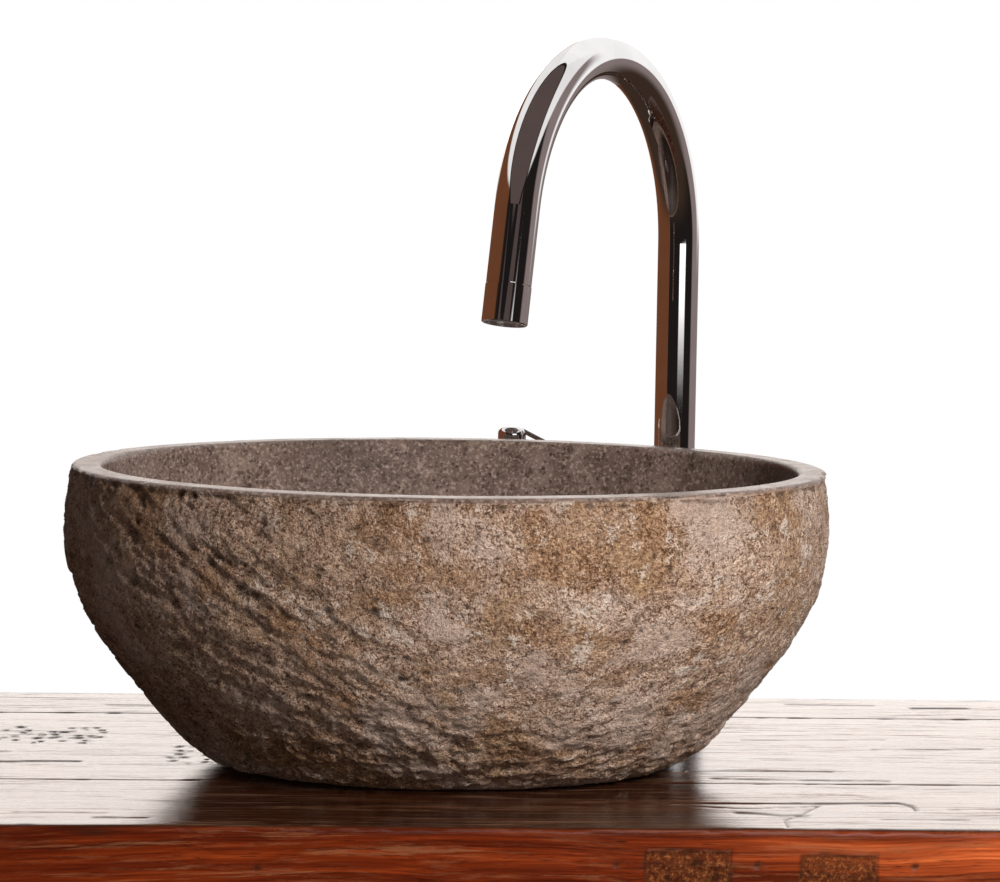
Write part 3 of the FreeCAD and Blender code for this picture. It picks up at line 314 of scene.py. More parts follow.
def timber_material(name, offset, right_light_strength):
    """Worn red-brown timber under thick gloss varnish; offset picks another stretch of grain.

    The last argument says how strongly the faces other than the upper one are painted lighter towards the
    right, as painted light.
    """
    material, graph, shader = new_material(name, (0.25, 0.07, 0.02))
    place = graph.moved(graph.place(), offset)
    bare = graph.attribute("bare")
    dent = graph.attribute("dent")

    sway = graph.noise_colour(graph.scaled(place, (5.0, 16.0, 16.0)), 1.0)
    sway = graph.scaled(graph.moved(sway, (-0.5, -0.5, -0.5)), (0.0, 0.020, 0.020))
    grain_place = graph.moved(place, sway)
    wide = graph.noise(graph.scaled(grain_place, (2.2, 38.0, 38.0)), 1.0, 3.0, 0.55)
    growth = graph.noise(graph.scaled(grain_place, (4.0, 190.0, 190.0)), 1.0, 4.0, 0.62)
    fibre = graph.noise(graph.scaled(grain_place, (22.0, 900.0, 900.0)), 1.0, 3.0, 0.6)
    tone = graph.math("ADD", graph.math("MULTIPLY", wide, 0.40), graph.math("MULTIPLY", growth, 0.38))
    tone = graph.math("ADD", tone, graph.math("MULTIPLY", fibre, 0.22))
    colour = graph.ramp(tone, [
        (0.34, (0.014, 0.0018, 0.0004)), (0.45, (0.046, 0.0052, 0.0008)), (0.54, (0.108, 0.014, 0.0020)),
        (0.66, (0.230, 0.042, 0.0075))])
    across, _, _ = graph.add("ShaderNodeSeparateXYZ", {0: place}).outputs
    # painted light: the faces other than the upper one are painted lighter towards the right, where the key
    # light falls
    painted_light_by_grain = graph.levels(wide, 0.30, 0.62, 0.5, 1.0)
    right_end_painted_light = graph.math("MULTIPLY", graph.levels(across, -0.02, 0.36), painted_light_by_grain)
    normal = graph.add("ShaderNodeTexCoord", {}).outputs["Normal"]
    upward = graph.levels(graph.add("ShaderNodeSeparateXYZ", {0: normal}).outputs[2], 0.55, 0.95)
    right_end_painted_light = graph.math("MULTIPLY", graph.math("SUBTRACT", right_end_painted_light, upward, True), right_light_strength)
    colour = graph.mix(right_end_painted_light, colour, graph.mix(1.0, colour, (3.1, 4.4, 7.5), "MULTIPLY"))
    pore_place = graph.scaled(grain_place, (70.0, 1500.0, 1500.0))
    pore = graph.levels(graph.noise(pore_place, 1.0, 2.0, 0.5), 0.62, 0.70)
    pore_band = graph.levels(growth, 0.47, 0.60)
    pore = graph.math("MULTIPLY", pore, graph.levels(pore_band, 0.0, 1.0, 0.25, 1.0))
    colour = graph.mix(graph.math("MULTIPLY", pore, 0.88), colour, (0.016, 0.004, 0.002))

    # old streaks where the grain stands open and the varnish lies thin
    streak = graph.noise(graph.scaled(grain_place, (13.0, 300.0, 300.0)), 1.0, 6.0, 0.78)
    where = graph.noise(graph.scaled(place, (6.0, 60.0, 60.0)), 1.0, 3.0, 0.6)
    open_here = graph.levels(where, 0.34, 0.62, 0.25, 1.0)
    open_grain = graph.math("MULTIPLY", graph.levels(streak, 0.50, 0.63), open_here)
    colour = graph.mix(graph.math("MULTIPLY", open_grain, 0.55), colour, (0.20, 0.085, 0.040))

    # painted shade: the upper face is painted darker than the others
    upper_face_painted_shade = graph.mix(1.0, colour, (0.30, 0.50, 0.80), "MULTIPLY")
    colour = graph.mix(upward, colour, upper_face_painted_shade)
    silvered = graph.math("MULTIPLY", graph.math("MULTIPLY", open_grain, upward), 0.80)
    colour = graph.mix(silvered, colour, (0.155, 0.078, 0.045))

    mottle = graph.noise(place, 360.0, 6.0, 0.8)
    bare_colour = graph.ramp(mottle, [
        (0.40, (0.016, 0.006, 0.003)), (0.52, (0.070, 0.022, 0.008)), (0.68, (0.34, 0.13, 0.040))])
    colour = graph.mix(graph.math("MULTIPLY", bare, 0.8), colour, bare_colour)
    colour = graph.mix(graph.math("MULTIPLY", dent, 0.92), colour, (0.018, 0.008, 0.004))
    graph.feed(shader.inputs["Base Color"], colour)
    graph.feed(shader.inputs["Roughness"], graph.levels(open_grain, 0.0, 1.0, 0.34, 0.62))

    cover = graph.math("MULTIPLY", graph.levels(open_grain, 0.0, 1.0, 1.0, 0.42),
                       graph.levels(bare, 0.0, 1.0, 1.0, 0.12))
    cover = graph.math("MULTIPLY", cover, graph.levels(dent, 0.0, 1.0, 1.0, 0.10))
    graph.feed(shader.inputs["Coat Weight"], cover)
    shader.inputs["Coat Roughness"].default_value = 0.045
    shader.inputs["Coat IOR"].default_value = 1.52
    shader.inputs["Specular IOR Level"].default_value = 0.12
    ridges = graph.math("ADD", graph.math("MULTIPLY", growth, 0.5), graph.math("MULTIPLY", streak, 0.6))
    ridges = graph.math("ADD", ridges, graph.math("MULTIPLY", graph.math("MULTIPLY", mottle, bare), 6.0))
    graph.feed(shader.inputs["Normal"], graph.bump(ridges, 0.5, 0.35 * MM))
    graph.feed(shader.inputs["Coat Normal"], graph.bump(ridges, 0.6, 0.30 * MM))
    return material


def metal_material(name, colours, roughness, spots, grain=(1.0, 1.0, 1.0)):
    """A metal whose colour and gloss drift a little, with fine marks; spots is their depth in metres."""
    material, graph, shader = new_material(name, colours[0])
    place = graph.place()
    cloud = graph.noise(place, 60.0, 4.0, 0.6)
    marks = graph.noise(graph.scaled(place, grain), 900.0, 3.0, 0.6)
    low, high = colours
    graph.feed(shader.inputs["Base Color"], graph.ramp(cloud, [(0.35, low), (0.65, high)]))
    smear = graph.math("ADD", graph.math("MULTIPLY", cloud, 0.6), graph.math("MULTIPLY", marks, 0.4))
    graph.feed(shader.inputs["Roughness"], graph.levels(smear, 0.35, 0.68, *roughness))
    graph.feed(shader.inputs["Normal"], graph.bump(marks, 0.25, spots))
    shader.inputs["Metallic"].default_value = 1.0
    return material


def moulded_material(name, colours, roughness, depth, coat=0.0):
    """Rubber, plastic, sealant or paint: a slightly mottled colour over a fine texture."""
    material, graph, shader = new_material(name, colours[0])
    place = graph.place()
    cloud = graph.noise(place, 90.0, 4.0, 0.6)
    texture = graph.noise(place, 1500.0, 3.0, 0.6)
    low, high = colours
    graph.feed(shader.inputs["Base Color"], graph.ramp(cloud, [(0.35, low), (0.65, high)]))
    graph.feed(shader.inputs["Roughness"], graph.levels(texture, 0.3, 0.7, *roughness))
    graph.feed(shader.inputs["Normal"], graph.bump(texture, 0.4, depth))
    shader.inputs["Coat Weight"].default_value = coat
    return material


def cad_materials():
    """One material for each material slot of the record, apart from those that new pieces bring."""
    return {
        "chrome": metal_material("chrome_look", [(0.80, 0.79, 0.80), (0.86, 0.85, 0.86)], (0.012, 0.05),
                                 0.004 * MM),
        "zinc_steel": metal_material("zinc_steel_look", [(0.50, 0.50, 0.47), (0.66, 0.66, 0.63)],
                                     (0.28, 0.48), 0.05 * MM, (1.0, 1.0, 0.2)),
        "brass": metal_material("brass_look", [(0.66, 0.46, 0.20), (0.78, 0.58, 0.28)], (0.20, 0.38),
                                0.05 * MM, (1.0, 1.0, 4.0)),
        "bracket_paint": moulded_material("bracket_paint_look", [(0.016, 0.016, 0.018), (0.03, 0.03, 0.033)],
                                          (0.38, 0.55), 0.12 * MM, 0.25),
        "rubber": moulded_material("rubber_look", [(0.012, 0.012, 0.013), (0.025, 0.024, 0.024)],
                                   (0.62, 0.85), 0.05 * MM),
        "plastic": moulded_material("plastic_look", [(0.66, 0.66, 0.63), (0.76, 0.76, 0.73)],
                                    (0.30, 0.42), 0.03 * MM),
        "sealant": moulded_material("sealant_look", [(0.62, 0.61, 0.58), (0.72, 0.71, 0.68)],
                                    (0.25, 0.36), 0.03 * MM),
    }


def dress_cad_nodes():
    looks = cad_materials()
    for entry in frame["record"]["subparts"]:
        look = looks.get(entry["material_slot"])
        if look is None:
            continue
        mesh = nodes[entry["node"]].data
        mesh.materials.clear()
        mesh.materials.append(look)
        mesh.polygons.foreach_set("use_smooth", [True] * len(mesh.polygons))
        mesh.set_sharp_from_angle(angle=math.radians(32))


# ---------------------------------------------------------------- stone basin

BOWL_COLUMNS = 840
BAND_HEIGHT = 2.2 * MM


def even_heights(tree, centre, low, high, spacing, outside):
    """Heights between low and high that are evenly spaced along the wall's section."""
    trial = np.linspace(low, high, 400)
    reach = wall_radii(tree, centre, [0.0], trial, outside)[:, 0]
    length = np.concatenate([[0], np.cumsum(np.hypot(np.diff(trial), np.diff(reach)))])
    steps = int(length[-1] / spacing)
    return np.interp(np.linspace(0, length[-1], steps), length, trial)


def wall_radii(tree, centre, angles, heights, outside):
    """Distance of the basin's wall from its upright axis, for each height and angle."""
    radii = np.zeros((len(heights), len(angles)))
    for column, angle in enumerate(angles):
        way = Vector((math.cos(angle), math.sin(angle), 0))
        for row, height in enumerate(heights):
            start = Vector((centre[0], centre[1], height))
            if outside:
                hit = tree.ray_cast(start + way, -way)[3]
                radii[row, column] = 1.0 - hit
            else:
                radii[row, column] = tree.ray_cast(start, way)[3]
    return radii


def stone_relief(points, low, high, out_face):
    """How far the rough outside lies from the smooth oval, in metres, and how much painted shade its hollows
    get.
    """
    height = points[:, 2] - low[2]
    rise = height / (high[2] - low[2])
    middle = (low + high) / 2
    side = (points[:, 0] - middle[0]) / (high[0] - middle[0])
    left = smooth_step(-side, -0.25, 0.75)
    right = smooth_step(side, 0.35, 0.95)
    foot = smooth_step(rise, 0.45, 0.10)

    twist_per_metre = 9.0
    turn = height * twist_per_metre
    across = points[:, :2] - middle[:2]
    spun = np.stack([across[:, 0] * np.cos(turn) - across[:, 1] * np.sin(turn),
                     across[:, 0] * np.sin(turn) + across[:, 1] * np.cos(turn), points[:, 2]], axis=1)

    lumps = fractal(points, 75 * MM, 11, 3) * 1.3
    dent, _ = nearest_seed(spun, (17 * MM, 17 * MM, 30 * MM), 23)
    chisel = (dent - 0.45) * 2.4
    ridge = 1 - np.abs(noise(spun, (6.5 * MM, 6.5 * MM, 19 * MM), 31)) * 2
    scratch = 1 - np.abs(noise(spun, (3.6 * MM, 3.6 * MM, 11 * MM), 37)) * 2
    chips, _ = nearest_seed(points, (16 * MM, 16 * MM, 5 * MM), 43)
    grit = fractal(points, 8.0 * MM, 53, 3)
    crust = 1 - np.abs(fractal(points, 5.2 * MM, 59, 2)) * 1.6
    pit, pit_name = nearest_seed(points, 9.5 * MM, 61)
    pits = np.where(pit_name > 0.62, smooth_step(pit, 0.34, 0.12), 0)
    crumb, crumb_name = nearest_seed(points, 4.2 * MM, 71)
    crumbs = np.where(crumb_name > 0.45, smooth_step(crumb, 0.45, 0.15), 0)

    roughness = 0.62 + 0.55 * left + 0.25 * foot - 0.15 * right
    shape = lumps * 0.8 + chisel * (0.30 + 0.85 * left) + ridge * (0.14 + 0.62 * left)
    shape += scratch * (0.14 + 0.50 * left) + (chips - 0.5) * 1.5 * foot
    shape += (grit * 0.85 + crust * 0.45) * roughness
    shape -= (pits * (0.9 + 0.5 * left) + crumbs * 0.6) * roughness
    # painted shade in the hollows: darker where ridges, chisel marks and grit lie low, and in pits and crumbs
    hollow_shade = (ridge - 0.4) * 0.30 * left + chisel * 0.14 + grit * 0.55 + (crust - 0.5) * 0.35
    hollow_shade -= pits * 0.55 + crumbs * 0.45
    proudest = 0.4
    shape = np.minimum(shape * 1.35 - 2.0, proudest)
    return shape * MM * out_face, hollow_shade


def make_bowl(material):
    node = nodes["stone_basin"]
    low, high = [np.array(corner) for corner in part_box("stone_basin")]
    centre = (low + high) / 2
    flange_depth = 4.5 * MM
    flange_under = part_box("waste_body")[1].z - flange_depth
    drain_radius = 23 * MM
    tree = BVHTree.FromObject(node, bpy.context.evaluated_depsgraph_get())
    angles = np.arange(BOWL_COLUMNS) * 2 * math.pi / BOWL_COLUMNS
    sliver = 0.05 * MM
    outer_spacing = 1.25 * MM
    inner_spacing = 2.2 * MM

    outer_z = even_heights(tree, centre, low[2] + sliver, high[2] - sliver, outer_spacing, True)
    outer = wall_radii(tree, centre, angles, outer_z, True)
    inner_z = even_heights(tree, centre, flange_under + sliver, high[2] - sliver, inner_spacing, False)
    inner_z = inner_z[::-1]
    inner = wall_radii(tree, centre, angles, inner_z, False)

    # rows of (radii, heights, honed, outside) from the foot up, over the rim, down inside and back below
    rows = [(radius, z, 0.0, 1.0) for radius, z in zip(outer, outer_z)]
    for part in np.linspace(0, 1, 10)[1:-1]:
        rows.append((outer[-1] * (1 - part) + inner[0] * part, high[2], 1.0, 0.0))
    rows += [(radius, z, 1.0, 0.0) for radius, z in zip(inner, inner_z)]
    drain = np.full(BOWL_COLUMNS, drain_radius)
    for part in np.linspace(0, 1, 5)[1:]:
        rows.append((inner[-1] * (1 - part) + drain * part, flange_under, 1.0, 0.0))
    for part in np.linspace(0, 1, 6)[1:]:
        rows.append((drain, flange_under * (1 - part) + low[2] * part, 1.0, 0.0))
    for part in np.linspace(0, 1, 24)[1:-1]:
        rows.append((drain * (1 - part) + outer[0] * part, low[2], 0.0, 0.0))

    radius = np.stack([row[0] for row in rows])
    grid = np.stack([centre[0] + radius * np.cos(angles), centre[1] + radius * np.sin(angles),
                     np.repeat([row[1] for row in rows], BOWL_COLUMNS).reshape(radius.shape)], axis=-1)
    normal = closed_grid_normals(grid).reshape(-1, 3)
    points = grid.reshape(-1, 3)
    honed = np.repeat([row[2] for row in rows], BOWL_COLUMNS)
    outside = np.repeat([row[3] for row in rows], BOWL_COLUMNS)

    # the honed rim turns over the edge as a narrow band with an uneven lower line
    wander = fractal(points, 24 * MM, 83, 4) * 0.9 * MM
    below_rim = high[2] - points[:, 2]
    band = outside * smooth_step(below_rim + wander, BAND_HEIGHT + 0.8 * MM, BAND_HEIGHT - 0.8 * MM)
    lip = outside * bell(below_rim + wander - BAND_HEIGHT - 1.6 * MM, 1.2 * MM)
    honed = np.maximum(honed, band)
    rough_face = outside * (1 - band) * smooth_step(points[:, 2] - low[2], -1 * MM, 4 * MM)
    shift, hollow_shade = stone_relief(points, low, high, rough_face)
    shift -= lip * 0.5 * MM
    shift += (noise(points, 26 * MM, 97) * 0.12 - 0.12) * MM * np.maximum(honed, 0)

    chip, chip_name = nearest_seed(points, (17 * MM, 17 * MM, 17 * MM), 101)
    near_edge = bell(below_rim - 1.0 * MM, 2.6 * MM) * np.maximum(outside, 0)
    shift -= np.where(chip_name > 0.72, smooth_step(chip, 0.42, 0.10), 0) * near_edge * 1.6 * MM
    points = points + normal * shift[:, None]
    # painted shade for the hollows, and a painted shadow line in the groove under the honed rim
    relief_shade = np.clip(hollow_shade * rough_face - lip * 0.7, -1.5, 1.0)

    faces = grid_faces(len(rows), BOWL_COLUMNS, True, True)
    bowl = new_piece("rough_stone_basin", points, faces, material, "vanity",
                     {"honed": honed, "relief_shade": relief_shade})
    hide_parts("stone_basin")


# ---------------------------------------------------------------- plug spring

def make_spring():
    """The plug's spring, wound to the CAD piece's size."""
    low, high = (np.array(corner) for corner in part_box("plug_spring"))
    wire_radius = 0.5 * MM
    pitch = 3.0 * MM
    sides = 14
    rings_per_turn = 48
    coil_radius = (high[0] - low[0]) / 2 - wire_radius
    climb = high[2] - low[2] - 2 * wire_radius
    turns = climb / pitch
    rings = int(turns * rings_per_turn)
    angle = np.linspace(0.0, turns * 2 * math.pi, rings)[:, None]
    around = -np.arange(sides)[None, :] * 2 * math.pi / sides
    reach = coil_radius + wire_radius * np.cos(around)
    height = low[2] + wire_radius + climb * angle / angle[-1] + wire_radius * np.sin(around)
    middle = (low + high) / 2
    grid = np.stack([middle[0] + reach * np.cos(angle), middle[1] + reach * np.sin(angle), height], axis=-1)
    faces = grid_faces(rings, sides, False, True)
    last = (rings - 1) * sides
    faces.append(list(reversed(range(sides))))
    faces.append([last + side for side in range(sides)])
    steel = nodes["plug_spring"].data.materials[0]
    spring = new_piece("wound_plug_spring", grid.reshape(-1, 3), faces, steel, "vanity")
    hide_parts("plug_spring")
    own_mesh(spring)


# ---------------------------------------------------------------- timber boards

def rounded_section(low, high, radii, spacing):
    """Points and outward directions round a board's section, in (y, z); radii are those of the edges."""
    (y0, z0), (y1, z1) = low, high
    corners = [((y0, z0), (1, 1)), ((y0, z1), (1, -1)), ((y1, z1), (-1, -1)), ((y1, z0), (-1, 1))]
    starts = [270, 180, 90, 0]
    section = []
    for index, (((y, z), (toward_y, toward_z)), start) in enumerate(zip(corners, starts)):
        radius = radii[index]
        middle = np.array([y + toward_y * radius, z + toward_z * radius])
        for degrees in np.linspace(start, start - 90, 6):
            way = np.array([math.cos(math.radians(degrees)), math.sin(math.radians(degrees))])
            section.append((middle + way * radius, way))
        (next_y, next_z), (along_y, along_z) = corners[(index + 1) % 4]
        next_radius = radii[(index + 1) % 4]
        target = np.array([next_y + along_y * next_radius, next_z + along_z * next_radius])
        last, way = section[-1]
        target = target + way * next_radius
        steps = max(2, int(np.linalg.norm(target - last) / spacing[index]))
        for part in np.linspace(0, 1, steps + 1)[1:-1]:
            section.append((last * (1 - part) + target * part, way))
    return section


def to_line(across, along, line):
    """Distance in the plane from points to a line through several corners."""
    best = np.full(len(across), 9.0)
    for (x0, y0), (x1, y1) in zip(line, line[1:]):
        dx, dy = x1 - x0, y1 - y0
        part = np.clip(((across - x0) * dx + (along - y0) * dy) / (dx * dx + dy * dy), 0, 1)
        best = np.minimum(best, np.hypot(across - x0 - part * dx, along - y0 - part * dy))
    return best


def make_board(node, material, radii, spacing, step, marks):
    """A board from its CAD node's box, with worn edges and the marks that the function adds."""
    low, high = [np.array(corner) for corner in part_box(node)]
    section = rounded_section(low[1:], high[1:], radii, spacing)
    end = 1.6 * MM
    columns = [(low[0] + end * (1 - math.cos(turn)), end * (1 - math.sin(turn)))
               for turn in np.radians([0, 30, 60])]
    inner = np.linspace(low[0] + end, high[0] - end, int((high[0] - low[0]) / step))
    columns += [(x, 0.0) for x in inner]
    columns += [(low[0] + high[0] - x, inset) for x, inset in columns[2::-1]]

    flat = np.array([point for point, _ in section])
    ways = np.array([way for _, way in section])
    points = np.array([[(x, *(flat[row] - ways[row] * inset)) for x, inset in columns]
                       for row in range(len(section))])
    shape = points.shape
    points = points.reshape(-1, 3)
    way = np.repeat(ways, shape[1], axis=0)
    sink, bare, dent = marks(points, way, low, high)
    points[:, 1:] -= way * sink[:, None]

    faces = grid_faces(shape[0], shape[1], True, False)
    rows = range(shape[0])
    faces.append([row * shape[1] for row in rows])
    faces.append([row * shape[1] + shape[1] - 1 for row in reversed(rows)])
    board = new_piece(f"worn_{node}", points, faces, material, "vanity",
                      {"bare": bare, "dent": dent})
    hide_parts(node)


def plain_wear(points, low, high):
    """Waviness of the faces and of the edges; everything lies below the board's true faces."""
    long_wave = fractal(points, (140 * MM, 22 * MM, 22 * MM), 211, 3)
    sink = (0.16 + 0.12 * long_wave) * MM
    edge = bell(high[1] - points[:, 1], 1.4 * MM) + bell(points[:, 1] - low[1], 1.4 * MM)
    edge = np.minimum(edge, 1) * bell(high[2] - points[:, 2], 1.4 * MM)
    nibble = np.clip(noise(points, (9 * MM, 60 * MM, 60 * MM), 223), 0, 1)
    sink += edge * nibble * 0.7 * MM
    return sink, np.zeros(len(points)), edge * 0.55


def scattered_pits(points, top, boxes, seed):
    """How deep each point lies in a small beetle hole, from 0 to 1; the holes are short curls in clusters."""
    draw = np.random.default_rng(seed)
    pitted = np.zeros(len(points))
    for (x0, y0), (x1, y1), count in boxes:
        for _ in range(count):
            x, y = draw.uniform(x0, x1), draw.uniform(y0, y1)
            long, wide = draw.uniform(0.9, 3.6) * MM, draw.uniform(0.7, 1.2) * MM
            tilt = draw.uniform(-0.7, 0.7)
            near = np.abs(points[:, 0] - x) < 8 * MM
            near &= np.abs(points[:, 1] - y) < 8 * MM
            near &= top
            dx, dy = points[near, 0] - x, points[near, 1] - y
            along = dx * math.cos(tilt) + dy * math.sin(tilt)
            across = -dx * math.sin(tilt) + dy * math.cos(tilt) + along ** 2 * draw.uniform(-90, 90)
            pitted[near] = np.maximum(pitted[near], bell(along, long) * bell(across, wide))
    return pitted


def grooves(points, chosen, lines):
    """Cracks in the upper face: each has the corners of its line in (x, y), its half width and its depth."""
    sink = np.zeros(len(points))
    dent = np.zeros(len(points))
    for line, width, depth in lines:
        wiggle = noise(points, (7 * MM, 7 * MM, 7 * MM), 307) * 0.7 * MM
        gap = to_line(points[:, 0], points[:, 1] + wiggle, line)
        mark = bell(gap, width) * chosen
        sink += mark * depth
        dent = np.maximum(dent, mark * min(1.0, depth / (0.7 * MM)))
    return sink, dent


def mm_line(*corners):
    return [(x * MM, y * MM) for x, y in corners]


def front_marks(points, way, low, high):
    """The front board's worn arris, its split, its chip and the rough patches and nail holes in its face."""
    sink, bare, dent = plain_wear(points, low, high)
    x, y, z = points.T
    top = (way[:, 1] > 0.9) & (z > high[2] - 3 * MM)
    face = way[:, 0] < -0.9
    below = high[2] - z

    arris = bell(y - low[1], 2.0 * MM) * bell(below, 2.0 * MM)
    wear = 0.5 + 0.5 * fractal(points, (60 * MM, 400 * MM, 400 * MM), 401, 4)
    sink += arris * np.clip(wear, 0, 1.3) * 0.6 * MM
    worn = arris * smooth_step(noise(points, (22 * MM, 90 * MM, 90 * MM), 409), 0.25, 0.7)
    bright = bell(x - 0.2535, 14 * MM) * bell(below, 2.2 * MM) * bell(y - low[1], 2.4 * MM)
    sink += bright * 0.6 * MM
    bare = np.maximum(bare, np.clip(worn * 0.5 + bright, 0, 1) * 0.55)

    split = [
        (mm_line((60, -311), (126, -310), (178, -308.5), (228, -307), (233, -313), (234, -324)),
         1.0 * MM, 0.9 * MM),
        (mm_line((185, -316), (180, -324), (174, -336), (164, -349), (163, -366)), 0.9 * MM, 0.5 * MM),
        (mm_line((142, -332), (154, -334), (163, -338), (176, -338)), 2.2 * MM, 0.45 * MM),
        (mm_line((118, -318), (150, -322), (185, -316)), 0.8 * MM, 0.4 * MM),
        (mm_line((-60, -332), (-22, -331), (30, -333)), 1.0 * MM, 0.5 * MM),
        (mm_line((-216, -341), (-170, -342)), 0.9 * MM, 0.4 * MM),
        (mm_line((-176, -352), (-150, -353)), 0.9 * MM, 0.5 * MM),
        (mm_line((212, -347), (256, -346)), 0.8 * MM, 0.4 * MM),
        (mm_line((250, -322), (299, -319)), 0.8 * MM, 0.4 * MM),
    ]
    extra, mark = grooves(points, top, split)
    sink += extra
    dent = np.maximum(dent, mark)

    # rough mortised patches in the front face, sawn square, with a dark line round them
    for x0, x1, z0, z1 in ((93, 135, 11, 41), (169, 206, 13, 42)):
        inside = np.minimum.reduce([x - x0 * MM, x1 * MM - x, below - z0 * MM, z1 * MM - below])
        wobble = noise(points, (5 * MM, 5 * MM, 5 * MM), 431) * 0.8 * MM
        patch = smooth_step(inside + wobble, -0.4 * MM, 0.8 * MM) * face
        rim = bell(inside + wobble, 0.8 * MM) * face
        rough = fractal(points, 4.5 * MM, 433, 3)
        sink += patch * (0.75 + 0.45 * rough) * MM
        bare = np.maximum(bare, patch * 0.85)
        dent = np.maximum(dent, rim * 0.8 + patch * np.clip(rough - 0.25, 0, 1))
    for hole_x, hole_z in ((79, 18), (148, 18), (225, 18), (-96, 21), (-31, 30)):
        gap = np.hypot((x - hole_x * MM) * 0.8, below - hole_z * MM)
        hole = bell(gap + noise(points, 2.5 * MM, 439) * 0.5 * MM, 1.1 * MM) * face
        sink += hole * 0.7 * MM
        dent = np.maximum(dent, np.clip(hole * 2.0, 0, 1))
    knot = bell((x + 0.175) * 0.6, 6 * MM) * bell(below - 3 * MM, 3 * MM) * face
    dent = np.maximum(dent, knot * 0.65)
    return sink, np.clip(bare, 0, 1), np.clip(dent, 0, 1)


def middle_marks(points, way, low, high):
    sink, bare, dent = plain_wear(points, low, high)
    top = (way[:, 1] > 0.9) & (points[:, 2] > high[2] - 3 * MM)
    clusters = [
        (*mm_line((-268, -161), (-185, -113)), 58),
        (*mm_line((-150, -219), (-128, -168)), 14),
    ]
    holes = scattered_pits(points, top, clusters, 17)
    sink += holes * 1.1 * MM
    dent = np.maximum(dent, np.clip(holes * 1.4, 0, 1))
    cracks = [
        (mm_line((-246, -214), (-214, -212), (-196, -212)), 1.1 * MM, 0.9 * MM),
        (mm_line((128, -228), (186, -226), (206, -227)), 0.9 * MM, 0.6 * MM),
        (mm_line((139, -247), (190, -250), (232, -251)), 0.9 * MM, 0.7 * MM),
        (mm_line((238, -163), (300, -160)), 0.9 * MM, 0.5 * MM),
        (mm_line((168, -139), (250, -135)), 0.9 * MM, 0.4 * MM),
        (mm_line((-262, -186), (-236, -185)), 0.9 * MM, 0.5 * MM),
    ]
    extra, mark = grooves(points, top, cracks)
    return sink + extra, bare, np.maximum(dent, mark)


def back_marks(points, way, low, high):
    sink, bare, dent = plain_wear(points, low, high)
    top = (way[:, 1] > 0.9) & (points[:, 2] > high[2] - 3 * MM)
    extra, mark = grooves(points, top, [
        (mm_line((284, -32), (300, -31), (318, -31)), 1.6 * MM, 0.9 * MM),
        (mm_line((210, -22), (262, -24)), 1.3 * MM, 0.5 * MM),
        (mm_line((-196, -40), (-164, -41)), 1.2 * MM, 0.5 * MM),
    ])
    return sink + extra, bare, np.maximum(dent, mark)


def make_boards():
    seam = 0.9 * MM
    under = 1.4 * MM
    make_board("front_board", timber_material("front_timber_look", (0.0, 0.0, 0.0), 1.0),
               (under, 1.2 * MM, seam, under), (1.5 * MM, 1.5 * MM, 8 * MM, 8 * MM), 1.5 * MM, front_marks)
    make_board("middle_board", timber_material("middle_timber_look", (0.9, 0.37, 0.11), 0.0),
               (under, seam, seam, under), (8 * MM, 1.8 * MM, 8 * MM, 8 * MM), 1.6 * MM, middle_marks)
    make_board("back_board", timber_material("back_timber_look", (1.7, 0.73, 0.29), 0.0),
               (under, seam, 2.0 * MM, under), (8 * MM, 1.8 * MM, 6 * MM, 8 * MM), 1.8 * MM, back_marks)
    spline_look = timber_material("spline_timber_look", (2.3, 0.11, 0.47), 0.0)
    for node in ("front_spline", "back_spline"):
        nodes[node].data.materials.clear()
        nodes[node].data.materials.append(spline_look)


# ---------------------------------------------------------------- camera, light and floor

CAMERA_PLACE = (-0.0466, -1.8126, 0.4465)
CAMERA_TURNS = (2.6, 5.08, 0.9)    # heading to the right, pitch down and roll, in degrees
SENSOR_WIDTH = 36.0                # millimetres, as the next
FOCAL_LENGTH = 108.86
FLOOR_LEVEL = -0.75
FLOOR_RADIUS = 4.0


def make_camera():
    data = bpy.data.cameras.new("camera")
    data.sensor_width = SENSOR_WIDTH
    data.lens = FOCAL_LENGTH
    data.clip_start = 0.05
    data.clip_end = 60.0
    camera = bpy.data.objects.new("camera", data)
    bpy.context.scene.collection.objects.link(camera)
    heading, pitch, roll = (math.radians(turn) for turn in CAMERA_TURNS)
    forward = Vector((math.sin(heading) * math.cos(pitch), math.cos(heading) * math.cos(pitch),
                      -math.sin(pitch)))
    right = Vector((math.cos(heading), -math.sin(heading), 0))
    up = right.cross(forward)
    rolled_right = right * math.cos(roll) + up * math.sin(roll)
    rolled_up = up * math.cos(roll) - right * math.sin(roll)
    turn = Matrix((rolled_right, rolled_up, -forward)).transposed()
    camera.matrix_world = Matrix.Translation(CAMERA_PLACE) @ turn.to_4x4()
    bpy.context.scene.camera = camera


